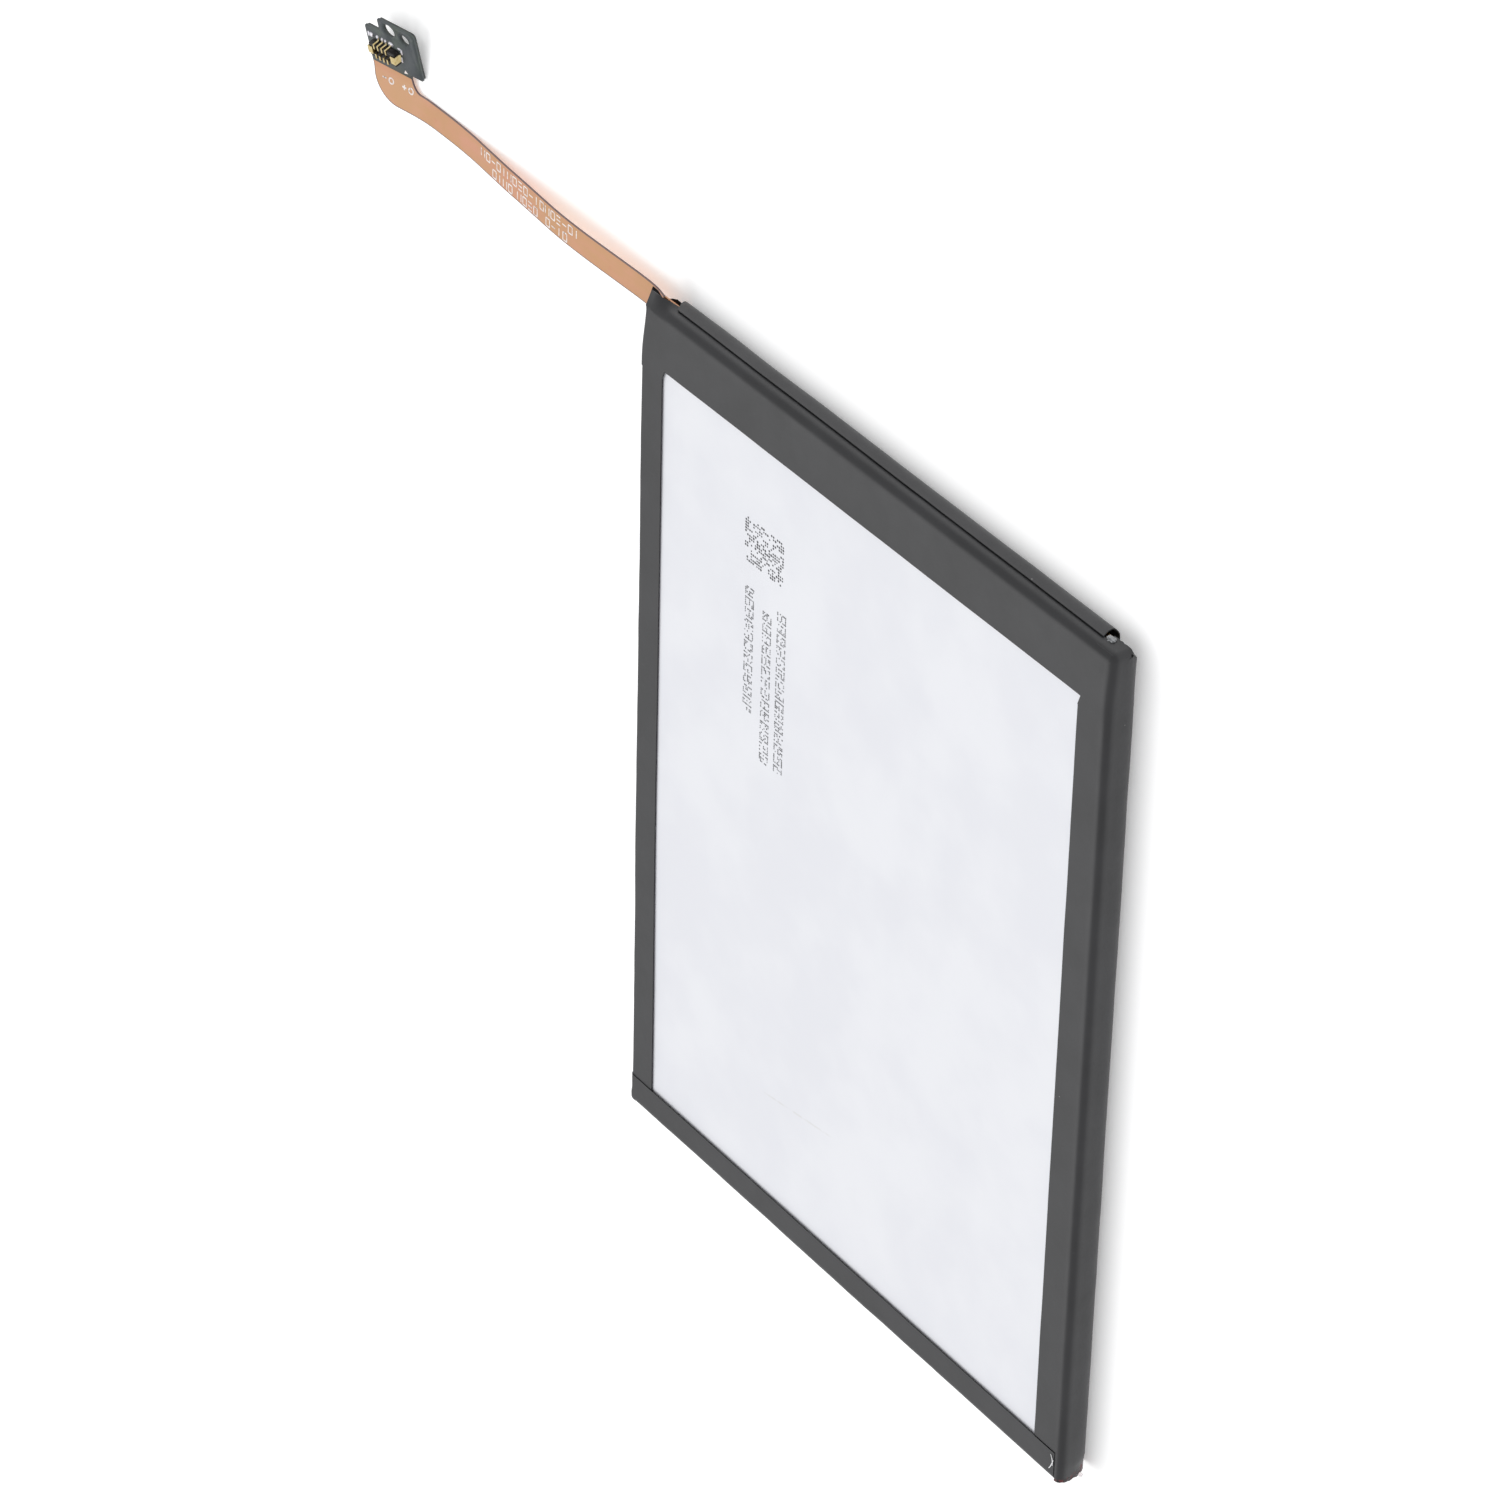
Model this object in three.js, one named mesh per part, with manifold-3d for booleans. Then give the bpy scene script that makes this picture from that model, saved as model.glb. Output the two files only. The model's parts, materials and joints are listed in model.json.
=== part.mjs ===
// A flat lithium-ion pouch cell with its protection board and a flat flex tail.
// Millimetres. The pack lies on its back: window up (+Z), terminal end to +Y, tail to -X.
// The origin is under the middle of the pack, on the surface it lies on.
import * as THREE from 'three';
import { mergeVertices } from 'three/addons/utils/BufferGeometryUtils.js';
import Module from 'manifold-3d';

const wasm = await Module();
wasm.setup();

// ---- driving dimensions -------------------------------------------------------------------
const WIDTH = 65;
const LENGTH = 87;
const THICK = 3.8;
const GAP = 0.02;                       // clearance between layers that touch

const TAPE = 0.1;                       // wrapping tape
const FRONT_RADIUS = 0.8;               // window-side edge of the wrapped pack
const FRONT_LEFT_RADIUS = 0.35;
const BACK_RADIUS = 2.2;
const END_RADIUS = 1.7;                 // back edge of the terminal end
const FOOT_RADIUS = 0.6;                // back edge of the other end
const EDGE_STEPS = 8;
const PLAN_RADIUS = 0.7;
const CUP_PLAN_RADIUS = 1.2;
const WINDOW = { left: -29.3, right: 28.8, top: 38.05, bottom: -40.34 };
const BACK_WINDOW = { left: -28.5, right: 28.5, top: WINDOW.top, bottom: WINDOW.bottom };
const CORNER_SKEW = 0.36;               // how far the top tape leans the window's upper corners
const CORNER_DROP = 1.05;
const END_DROP = 0.3;                   // the tape slopes down over the terminal end
const OVERLAP_TOP = 2.6;                // the end strip's upper edge on the end wall
const UNDERLAP = 1.0;                   // the top tape's lower edge behind it
const STRIP_LEFT = -30.2;
const STRIP_RIGHT = 29.6;

const LAMINATE = 0.12;                  // aluminium pouch laminate
const CUP_SIDE = WIDTH / 2 - TAPE - 0.3;
const CUP_BASE = 0.48;
const CUP_BACK_RADIUS = 1.75;
const CUP_FRONT_RADIUS = 0.65;
const CUP_RIM = 0.75;
const CUP_END = 38.75;
const TERRACE_END = 41.8;
const COVER_HALF = 30.15;
const SEAL_END = { left: 40.2, right: 41.6 };
const SEAL_TOP = 3;

const ROLL_HALF = 31.5;                 // wound electrode roll
const ROLL_MID = 1.9;
const ROLL_CORE = 0.1;
const ROLL_PITCH = 0.27;
const ROLL_HALF_TURNS = 9;
const ROLL_ARC_STEPS = 6;
const SHEETS = {                        // inner and outer radius within one pitch, and the ends
  cathode_foil: [0, 0.09, -42.2, 37.2],
  separator_inner: [0.1, 0.12, -42.9, 37.9],
  anode_foil: [0.13, 0.23, -42.5, 37.5],
  separator_outer: [0.24, 0.26, -42.9, 37.9],
};

const TAB = 0.08;
const TAB_WIDTH = 4;
const CATHODE_X = -17;
const ANODE_X = 5;
const BOARD = { left: -27.5, right: 27, front: 39, back: 42.35, base: 0.72, top: 1.32 };

const FLEX = 0.16;                      // polyimide flex circuit
const FLEX_WIDTH = 2.5;
const FLEX_Y = 41.95;
const EXIT_X = -WIDTH / 2 + 0.2;
const CORD_GAP = 0.3;
const RUN_END = -71;
const NECK_LEFT = -78.42;
const NECK_RIGHT = -73.4;
const NECK_END = 44.3;
const NECK_OUTER_RADIUS = 3;
const NECK_INNER_RADIUS = 1;
// height of the flex above the surface along its run: [x, z]
const FLEX_ROUTE = [
  [-32.6, 1.6], [-33.4, 1.42], [-34.6, 1.29], [-36.4, 1.26], [-38.6, 1.3], [-42.6, 1.4],
  [-46, 1.44], [-49, 1.38], [-52, 1.19], [-55, 0.97], [-58, 0.77], [-61, 0.52], [-64, 0.27],
  [-67, 0.14], [-70, 0.12], [-71.5, 0.15], [-73, 0.3], [-74.5, 0.54], [-78.6, 1.3],
];

// the head's plane: where its lower left corner lies, and how it is tilted
const HEAD_AT = [-78.463, 44.475, 1.473];
const HEAD_TILT = [0.249, 0.184, -0.004];
const HEAD = { width: 6.7, left: 4.25, tall: 5.8, step: 1.98, ear: 0.43, film: 5.03 };
const HEAD_FILM = 0.15;
const STIFFENER = 0.2;
const CONNECTOR = { left: 0.8, right: 4.1, front: 1.4, back: 2.9, height: 0.65 };
const CAVITY = { left: 1.2, right: 3.7, front: 1.78, back: 2.52, floor: 0.2 };
const TONGUE = { left: 1.45, right: 3.45, front: 2.05, back: 2.25, top: 0.45 };
const CONTACT_X = [1.55, 2.05, 2.55, 3.05];
const POWER_Y = [1.75, 2.55];

const FINISH = {
  tape: [0x3c3d41, 0.55, 0],
  pouch: [0xdfe3e8, 0.32, 0.6],
  seal: [0xc4c8cc, 0.4, 0.6],
  cathode: [0x2c2c30, 0.8, 0.1],
  anode: [0x4a3a30, 0.8, 0.2],
  separator: [0xf2f2ee, 0.6, 0],
  nickel: [0xb9b6ac, 0.35, 1],
  aluminium: [0xc9ccd0, 0.35, 1],
  film: [0xe8e4d8, 0.5, 0],
  amber: [0xb08a3a, 0.3, 0],
  paper: [0x55605a, 0.8, 0],
  foam: [0x1d1d1f, 0.95, 0],
  board: [0x1e3b2c, 0.45, 0],
  chip: [0x17171a, 0.5, 0],
  ceramic: [0xb89f80, 0.6, 0],
  flex: [0xc98d5c, 0.35, 0],
  mask: [0x42484a, 0.45, 0],
  stiffener: [0x3a3f42, 0.5, 0.1],
  connector: [0x141416, 0.4, 0],
  gold: [0xd8b56a, 0.25, 1],
};

// ---- profiles and solids ------------------------------------------------------------------
// A closed outline from [x, y, radius] corners; each radius becomes an arc of short sides.
function rounded(corners, steps = 5) {
  const points = [];
  corners.forEach(([x, y, radius = 0], i) => {
    const here = new THREE.Vector2(x, y);
    if (!radius) return points.push(here);
    const [ax, ay] = corners[(i + corners.length - 1) % corners.length];
    const [bx, by] = corners[(i + 1) % corners.length];
    const back = new THREE.Vector2(ax - x, ay - y).normalize();
    const ahead = new THREE.Vector2(bx - x, by - y).normalize();
    const half = Math.acos(THREE.MathUtils.clamp(back.dot(ahead), -1, 1)) / 2;
    const centre = back.clone().add(ahead).normalize().multiplyScalar(radius / Math.sin(half)).add(here);
    const from = back.clone().multiplyScalar(radius / Math.tan(half)).add(here).sub(centre);
    const to = ahead.clone().multiplyScalar(radius / Math.tan(half)).add(here).sub(centre);
    const sweep = Math.atan2(from.cross(to), from.dot(to));
    for (let k = 0; k <= steps; k += 1) {
      const point = from.clone().rotateAround(new THREE.Vector2(), (sweep * k) / steps);
      points.push(point.add(centre));
    }
    return points;
  });
  return points;
}

const AXES = {
  X: [[0, 1, 0], [0, 0, 1], [1, 0, 0]],     // outline in Y-Z, pushed along X
  Y: [[1, 0, 0], [0, 0, 1], [0, -1, 0]],    // outline in X-Z, pushed along Y
  Z: [[1, 0, 0], [0, 1, 0], [0, 0, 1]],     // outline in X-Y, pushed along Z
};

// Pushes an outline along an axis between two places.
function push(points, axis, from, to, holes = []) {
  const shape = new THREE.Shape(points);
  holes.forEach((hole) => shape.holes.push(new THREE.Path(hole)));
  const geometry = new THREE.ExtrudeGeometry(shape, { depth: to - from, bevelEnabled: false });
  const basis = AXES[axis].map((v) => new THREE.Vector3(...v));
  geometry.applyMatrix4(new THREE.Matrix4().makeBasis(...basis));
  const start = axis === 'Y' ? to : from;
  const offset = { X: [start, 0, 0], Y: [0, start, 0], Z: [0, 0, start] }[axis];
  return geometry.translate(...offset);
}

function block(x0, x1, y0, y1, z0, z1) {
  const geometry = new THREE.BoxGeometry(x1 - x0, y1 - y0, z1 - z0);
  return geometry.translate((x0 + x1) / 2, (y0 + y1) / 2, (z0 + z1) / 2);
}

// A strip of even thickness along a bent line in a plane.
function strip(line, thickness) {
  const side = (sign) => line.map((point, i) => {
    const before = line[Math.max(i - 1, 0)];
    const after = line[Math.min(i + 1, line.length - 1)];
    const inward = new THREE.Vector2().subVectors(point, before).normalize();
    const outward = new THREE.Vector2().subVectors(after, point).normalize();
    if (i === 0) inward.copy(outward);
    if (i === line.length - 1) outward.copy(inward);
    const along = inward.clone().add(outward).normalize();
    const mitre = (sign * thickness) / 2 / Math.max(along.dot(inward), 0.5);
    return new THREE.Vector2(point.x - along.y * mitre, point.y + along.x * mitre);
  });
  return [...side(-1), ...side(1).reverse()];
}

// An open line through corners, with arcs at the inner ones.
function bentLine(corners, radius, steps = 4) {
  const last = corners.length - 1;
  const closed = corners.map(([x, y], i) => [x, y, i > 0 && i < last ? radius : 0]);
  return rounded(closed, steps);
}

function solid(geometry) {
  const plain = geometry.clone();
  plain.deleteAttribute('normal');
  plain.deleteAttribute('uv');
  const merged = mergeVertices(plain, 1e-5);
  return new wasm.Manifold(new wasm.Mesh({
    numProp: 3,
    vertProperties: new Float32Array(merged.attributes.position.array),
    triVerts: new Uint32Array(merged.index.array),
  }));
}

function surface(manifold) {
  const mesh = manifold.getMesh();
  const geometry = new THREE.BufferGeometry();
  geometry.setAttribute('position', new THREE.BufferAttribute(mesh.vertProperties, 3));
  geometry.setIndex(new THREE.BufferAttribute(mesh.triVerts, 1));
  return geometry;
}

const group = new THREE.Group();

function add(name, geometry, finish, parent = group) {
  const [color, roughness, metalness] = FINISH[finish];
  const flat = geometry.index && !geometry.attributes.normal ? geometry.toNonIndexed() : geometry;
  flat.computeVertexNormals();
  const mesh = new THREE.Mesh(flat, new THREE.MeshStandardMaterial({ color, roughness, metalness }));
  mesh.name = name;
  parent.add(mesh);
}

// ---- the wrapped pack's outer form, shrunk by an inset --------------------------------------
function packForm(inset, endInset) {
  const x = WIDTH / 2 - inset;
  const low = -LENGTH / 2 + inset;
  const high = LENGTH / 2 - endInset - inset;
  const top = THICK - inset;
  const across = rounded([
    [-x, inset, BACK_RADIUS - inset], [x, inset, BACK_RADIUS - inset],
    [x, top, FRONT_RADIUS - inset], [-x, top, FRONT_LEFT_RADIUS - inset],
  ], EDGE_STEPS);
  const along = rounded([
    [low, inset, FOOT_RADIUS - inset], [high, inset, END_RADIUS - inset],
    [high, top - END_DROP, FRONT_RADIUS - inset], [WINDOW.top, top], [low, top, FRONT_RADIUS - inset],
  ], EDGE_STEPS);
  const plan = rounded([
    [-x, low, PLAN_RADIUS - inset], [x, low, PLAN_RADIUS - inset],
    [x, high, PLAN_RADIUS - inset], [-x, high, PLAN_RADIUS - inset],
  ], 4);
  return solid(push(across, 'Y', -LENGTH, LENGTH))
    .intersect(solid(push(along, 'X', -WIDTH, WIDTH)))
    .intersect(solid(push(plan, 'Z', -1, THICK + 1)));
}

// ---- wrapping tapes: one skin, divided where each tape ends ----------------------------------
function makeTapes() {
  const outline = [
    [WINDOW.left, WINDOW.bottom], [WINDOW.right, WINDOW.bottom],
    [WINDOW.right, WINDOW.top - CORNER_DROP], [WINDOW.right + CORNER_SKEW, WINDOW.top],
    [WINDOW.left + CORNER_SKEW, WINDOW.top], [WINDOW.left, WINDOW.top - CORNER_DROP],
  ].map(([x, y]) => new THREE.Vector2(x, y));
  const front = solid(push(outline, 'Z', THICK / 2, THICK + 1));
  const w = BACK_WINDOW;
  const back = solid(block(w.left, w.right, w.bottom, w.top, -1, THICK / 2));
  const windows = front.add(back);
  const skin = packForm(0, TAPE + GAP).subtract(packForm(TAPE, TAPE + GAP)).subtract(windows);
  const outer = packForm(0, 0).subtract(packForm(TAPE, 0)).subtract(windows);

  const far = LENGTH;
  const side = WIDTH / 2 - FRONT_RADIUS;
  const above = WINDOW.top;
  const below = WINDOW.bottom;
  const mouth = solid(block(-far, STRIP_LEFT - 0.1, above + 0.85, far, UNDERLAP - 0.1, 3));
  const top = solid(block(-far, far, above, far, UNDERLAP, far)).subtract(mouth);
  add('tape_top', surface(skin.intersect(top)), 'tape');

  const bottom = solid(block(-far, side, -far, below, -far, far));
  add('tape_bottom', surface(skin.intersect(bottom)), 'tape');

  const upper = (x0, x1) => solid(block(x0, x1, above - GAP - 1, far, -far, UNDERLAP - GAP));
  const left = solid(block(-far, 0, below + GAP, above - GAP, -far, far))
    .add(upper(-far, STRIP_LEFT - GAP));
  add('tape_left', surface(skin.intersect(left)), 'tape');

  const right = solid(block(0, far, below + GAP, above - GAP, -far, far))
    .add(upper(STRIP_RIGHT + GAP, far))
    .add(solid(block(side + GAP, far, -far, below + GAP + 1, -far, far)));
  add('tape_right', surface(skin.intersect(right)), 'tape');

  const end = solid(block(STRIP_LEFT, STRIP_RIGHT, above, far, -far, OVERLAP_TOP));
  add('end_strip', surface(outer.intersect(end)), 'tape');

  const lip = block(WINDOW.left + 0.6, WINDOW.right, above - 0.17, above - GAP, THICK - TAPE, THICK - 0.04);
  add('amber_tape_edge', lip, 'amber');
}

// ---- pouch: drawn cup, flat cover and the folded side seals ----------------------------------
function cupForm(inset) {
  const x = CUP_SIDE - inset;
  const top = THICK - TAPE - GAP - inset;
  const low = -LENGTH / 2 + TAPE + GAP + inset;
  const high = CUP_END - inset;
  const base = CUP_BASE + inset;
  const across = rounded([
    [-x, base, CUP_BACK_RADIUS - inset], [x, base, CUP_BACK_RADIUS - inset],
    [x, top, CUP_FRONT_RADIUS - inset], [-x, top, CUP_FRONT_RADIUS - inset],
  ]);
  const along = rounded([
    [low, base, 0.5 - inset], [high, base], [high, top, CUP_FRONT_RADIUS - inset],
    [low, top, CUP_FRONT_RADIUS - inset],
  ]);
  const plan = rounded([
    [-x, low, CUP_PLAN_RADIUS - inset], [x, low, CUP_PLAN_RADIUS - inset],
    [x, high, CUP_PLAN_RADIUS - inset], [-x, high, CUP_PLAN_RADIUS - inset],
  ], 4);
  return solid(push(across, 'Y', -LENGTH, LENGTH))
    .intersect(solid(push(along, 'X', -WIDTH, WIDTH)))
    .intersect(solid(push(plan, 'Z', -1, THICK)));
}

function makePouch() {
  const open = solid(block(-WIDTH, WIDTH, -LENGTH, CUP_END - 0.7, -1, CUP_RIM));
  const slot = solid(block(-CUP_SIDE + 1.1, CUP_SIDE - 1.1, 0, CUP_END - LAMINATE, -1, CUP_RIM));
  const terrace = solid(block(-31, 31, CUP_END - LAMINATE, TERRACE_END, CUP_BASE, CUP_BASE + LAMINATE));
  const cup = cupForm(0).subtract(cupForm(LAMINATE)).subtract(open).subtract(slot).add(terrace);
  add('pouch_cup', surface(cup), 'pouch');

  const base = TAPE + GAP;
  const foot = -LENGTH / 2 + 0.65;
  const cover = rounded([[-COVER_HALF, foot, 0.8], [COVER_HALF, foot, 0.8], [COVER_HALF, TERRACE_END, 0.4],
    [-COVER_HALF, TERRACE_END, 0.4]]);
  add('pouch_cover', push(cover, 'Z', base, base + LAMINATE), 'pouch');

  const fold = (sign, high) => {
    const x = sign * (WIDTH / 2 - TAPE - GAP - LAMINATE);
    const level = base + LAMINATE;
    const bend = BACK_RADIUS - level;
    const corners = [[sign * (COVER_HALF + 0.06), level], [x, level], [x, SEAL_TOP]];
    const line = bentLine(corners, bend, EDGE_STEPS);
    return push(strip(line, 2 * LAMINATE), 'Y', -LENGTH / 2 + 1.2, high);
  };
  add('side_seal_left', fold(-1, SEAL_END.left), 'seal');
  add('side_seal_right', fold(1, SEAL_END.right), 'seal');
}

// ---- wound roll: four sheets on one flattened spiral ------------------------------------------
function spiral(inner, outer) {
  const reach = ROLL_HALF - ROLL_CORE - ROLL_PITCH * (ROLL_HALF_TURNS / 2) - 0.26;
  const wall = (offset) => {
    const points = [];
    for (let half = 0; half < ROLL_HALF_TURNS; half += 1) {
      for (let k = 0; k <= ROLL_ARC_STEPS; k += 1) {
        const angle = Math.PI * (half - 0.5 + k / ROLL_ARC_STEPS);
        const radius = ROLL_CORE + offset + (ROLL_PITCH * (half + k / ROLL_ARC_STEPS)) / 2;
        const focus = half % 2 ? -reach : reach;
        points.push(new THREE.Vector2(
          focus + radius * Math.cos(angle),
          ROLL_MID + radius * Math.sin(angle),
        ));
      }
    }
    return points;
  };
  return [...wall(outer), ...wall(inner).reverse()];
}

function makeRoll() {
  const finish = { cathode_foil: 'cathode', anode_foil: 'anode' };
  for (const [name, [inner, outer, low, high]] of Object.entries(SHEETS)) {
    add(name, push(spiral(inner, outer), 'Y', low, high), finish[name] ?? 'separator');
  }
  const rollTop = ROLL_MID + ROLL_CORE + ROLL_PITCH * (ROLL_HALF_TURNS / 2) + 0.26;
  add('roll_end_tape', block(-20, -6, -41, 36, rollTop + GAP / 2, rollTop + GAP / 2 + 0.04), 'amber');
}

// ---- tabs, their sealing films and the protection board ---------------------------------------
function makeTab(name, x, finish) {
  const line = bentLine([
    [20, ROLL_MID], [38.25, ROLL_MID], [38.25, 0.36], [42.2, 0.36], [42.72, 0.8], [42.72, 1.54],
    [39.8, 1.54],
  ], 0.14);
  add(`${name}_tab`, push(strip(line, TAB), 'X', x - TAB_WIDTH / 2, x + TAB_WIDTH / 2), finish);
  const wrap = solid(block(x - 3, x + 3, 39.2, 41.9, 0.26, 0.46));
  const slit = solid(block(x - TAB_WIDTH / 2 - 0.05, x + TAB_WIDTH / 2 + 0.05, 39, 43, 0.31, 0.41));
  add(`${name}_tab_film`, surface(wrap.subtract(slit)), 'film');
  add(`${name}_weld_plate`, block(x - 2.2, x + 2.2, 39.3, 42, BOARD.top + GAP, 1.46), 'nickel');
}

function makeBoard() {
  makeTab('cathode', CATHODE_X, 'aluminium');
  makeTab('anode', ANODE_X, 'nickel');
  add('terrace_insulator', block(-29, 29, 38.85, 42.38, 0.62, 0.7), 'amber');
  const { left, right, front, back, base, top } = BOARD;
  add('protection_board', block(left, right, front, back, base, top), 'board');
  const parts = [                        // name, middle x, length, width, height, finish
    ['protection_chip', -10, 2, 2, 0.6, 'chip'],
    ['switch_transistor', -3.2, 3, 2.4, 0.75, 'chip'],
    ['sense_resistor', 10.5, 2.5, 1.3, 0.5, 'ceramic'],
    ['thermistor', 14.5, 1, 0.5, 0.5, 'ceramic'],
    ['filter_capacitor_1', 17.5, 1, 0.5, 0.5, 'ceramic'],
    ['filter_capacitor_2', 19.7, 1, 0.5, 0.5, 'ceramic'],
    ['id_resistor', 21.9, 1, 0.5, 0.35, 'chip'],
    ['thermal_fuse', 24.9, 2.4, 1.6, 0.7, 'chip'],
  ];
  const mid = (BOARD.front + BOARD.back) / 2;
  const seat = BOARD.top + GAP;
  for (const [name, x, long, wide, high, finish] of parts) {
    add(name, block(x - long / 2, x + long / 2, mid - wide / 2, mid + wide / 2, seat, seat + high), finish);
  }
  const channel = [[38.95, 2.78], [43.1, 2.78], [43.1, 1.5], [43.22, 1.5], [43.22, 2.9], [38.95, 2.9]];
  add('board_cover', push(channel.map(([y, z]) => new THREE.Vector2(y, z)), 'X', -21, 29), 'paper');
  add('foam_strip', block(-21, 29, 38.95, 42.4, 2.93, 3.3), 'foam');
}

// ---- flex circuit: root on the board, free run, corner and neck ---------------------------------
function flexHeight(x) {
  const i = Math.max(1, FLEX_ROUTE.findIndex(([at]) => at <= x));
  const [x0, z0] = FLEX_ROUTE[i - 1];
  const [x1, z1] = FLEX_ROUTE[i];
  return z0 + ((z1 - z0) * (x - x0)) / (x1 - x0);
}

// The flex lifts towards its head: extra height along the neck.
function neckLift(y) {
  const rise = Math.tan(HEAD_TILT[0]);
  const t = THREE.MathUtils.clamp((y - 42.9) / 1.4, 0, 1);
  return (rise * 1.4 * t * t) / 2 + rise * Math.max(y - 44.3, 0);
}

function neckSheet() {
  const low = FLEX_Y - FLEX_WIDTH / 2;
  const high = FLEX_Y + FLEX_WIDTH / 2;
  const start = RUN_END - CORD_GAP;
  const rail = (x, y, radius) => {
    const turn = bentLine([[start, y], [x, y], [x, NECK_END]], radius, 6);
    const straight = [0.33, 0.67].map((t) => new THREE.Vector2(start, y).lerp(turn[1], t));
    const rise = [0.5].map((t) => turn[turn.length - 2].clone().lerp(turn[turn.length - 1], t));
    return [turn[0], ...straight, ...turn.slice(1, -1), ...rise, turn[turn.length - 1]];
  };
  const outer = rail(NECK_LEFT, low, NECK_OUTER_RADIUS);
  const inner = rail(NECK_RIGHT, high, NECK_INNER_RADIUS);
  const across = 4;
  const count = outer.length;
  const position = [];
  for (const side of [-FLEX / 2, FLEX / 2]) {
    for (let i = 0; i < count; i += 1) {
      for (let j = 0; j <= across; j += 1) {
        const p = outer[i].clone().lerp(inner[i], j / across);
        position.push(p.x, p.y, flexHeight(p.x) + neckLift(p.y) + side);
      }
    }
  }
  const at = (layer, i, j) => (layer * count + i) * (across + 1) + j;
  const index = [];
  const quad = (a, b, c, d) => index.push(a, b, c, a, c, d);
  for (let i = 0; i < count - 1; i += 1) {
    for (let j = 0; j < across; j += 1) {
      quad(at(1, i, j), at(1, i, j + 1), at(1, i + 1, j + 1), at(1, i + 1, j));
      quad(at(0, i, j), at(0, i + 1, j), at(0, i + 1, j + 1), at(0, i, j + 1));
    }
    quad(at(0, i, 0), at(1, i, 0), at(1, i + 1, 0), at(0, i + 1, 0));
    quad(at(0, i, across), at(0, i + 1, across), at(1, i + 1, across), at(1, i, across));
  }
  for (let j = 0; j < across; j += 1) {
    quad(at(0, 0, j), at(0, 0, j + 1), at(1, 0, j + 1), at(1, 0, j));
    const e = count - 1;
    quad(at(0, e, j), at(1, e, j), at(1, e, j + 1), at(0, e, j + 1));
  }
  const geometry = new THREE.BufferGeometry();
  geometry.setAttribute('position', new THREE.Float32BufferAttribute(position, 3));
  geometry.setIndex(index);
  return geometry;
}

function makeFlex() {
  const low = FLEX_Y - FLEX_WIDTH / 2;
  const high = FLEX_Y + FLEX_WIDTH / 2;
  const root = bentLine([[-22, 1.43], [-27.8, 1.43], [-30.4, 1.6], [EXIT_X, 1.62]], 1, 3);
  add('flex_root', push(strip(root, FLEX), 'Y', low, high), 'flex');
  const steps = FLEX_ROUTE.filter(([x]) => x > RUN_END);
  const run = [...steps, [RUN_END, flexHeight(RUN_END)]].map(([x, z]) => new THREE.Vector2(x, z));
  add('flex_run', push(strip(run, FLEX), 'Y', low, high), 'flex');
  add('flex_neck', neckSheet(), 'flex');
}

// ---- head: film, stiffener and board-to-board connector, in the head's own tilted frame -----------
function headOutline(inset) {
  const { width, left, tall, step, ear, film } = HEAD;
  return rounded([
    [inset, inset], [film - inset, inset], [film - inset, ear + inset], [width - inset, ear + inset, 0.25],
    [width - inset, tall - inset, 0.4], [step + inset, tall - inset, 0.3], [step + inset, left - inset],
    [inset, left - inset, 0.3],
  ], 3);
}

function circle(x, y, radius) {
  const path = [];
  for (let k = 0; k < 20; k += 1) {
    const angle = (-2 * Math.PI * k) / 20;
    path.push(new THREE.Vector2(x + radius * Math.cos(angle), y + radius * Math.sin(angle)));
  }
  return path;
}

// A sprung contact: foot on the board, up the wall, over it and down into the cavity.
function contactProfile(outside, inside, metal, foot) {
  const out = Math.sign(outside - inside);
  const top = CONNECTOR.height + 2 * GAP;
  const wall = outside + out * GAP;
  return [
    [wall + out * foot, GAP], [wall, GAP], [wall, top], [inside - out * GAP, top],
    [inside - out * GAP, CAVITY.floor + 0.12], [inside - out * (GAP + metal), CAVITY.floor + 0.12],
    [inside - out * (GAP + metal), top + metal], [wall + out * metal, top + metal],
    [wall + out * metal, GAP + metal], [wall + out * foot, GAP + metal],
  ].map(([a, b]) => new THREE.Vector2(a, b));
}

function makeHead() {
  const head = new THREE.Group();
  head.position.set(...HEAD_AT);
  head.rotation.set(...HEAD_TILT, 'ZYX');
  group.add(head);
  const holes = (grow) => [circle(3.35, 4.84, 0.72 + grow), circle(5.27, 4.64, 0.6 + grow)];
  add('head_film', push(headOutline(0), 'Z', -HEAD_FILM, 0, holes(0)), 'mask', head);
  const under = -HEAD_FILM - GAP;
  const plate = push(headOutline(0.06), 'Z', under - STIFFENER, under, holes(0.05));
  add('head_stiffener', plate, 'stiffener', head);

  const c = CONNECTOR;
  const v = CAVITY;
  const t = TONGUE;
  const shell = rounded([[c.left, c.front, 0.12], [c.right, c.front, 0.12], [c.right, c.back, 0.12],
    [c.left, c.back, 0.12]], 2);
  const housing = solid(push(shell, 'Z', GAP, c.height))
    .subtract(solid(block(v.left, v.right, v.front, v.back, v.floor, 2)))
    .add(solid(block(t.left, t.right, t.front, t.back, v.floor - 0.05, t.top)));
  add('connector_housing', surface(housing), 'connector', head);

  const row = (outside, inside, first) => {
    CONTACT_X.forEach((x, i) => {
      const profile = contactProfile(outside, inside, 0.06, 0.36);
      add(`signal_contact_${first + i}`, push(profile, 'X', x - 0.08, x + 0.08), 'gold', head);
    });
  };
  row(c.back, v.back, 1);
  row(c.front, v.front, 1 + CONTACT_X.length);
  const ends = { left: [c.left, v.left], right: [c.right, v.right] };
  for (const [name, [outside, inside]] of Object.entries(ends)) {
    const profile = contactProfile(outside, inside, 0.08, 0.22);
    add(`power_contact_${name}`, push(profile, 'Y', ...POWER_Y), 'gold', head);
  }
}

makePouch();
makeRoll();
makeBoard();
makeTapes();
makeFlex();
makeHead();

export default group;
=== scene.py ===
import json
import math

import bmesh
import bpy
from mathutils import Euler, Matrix, Vector, noise

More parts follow.
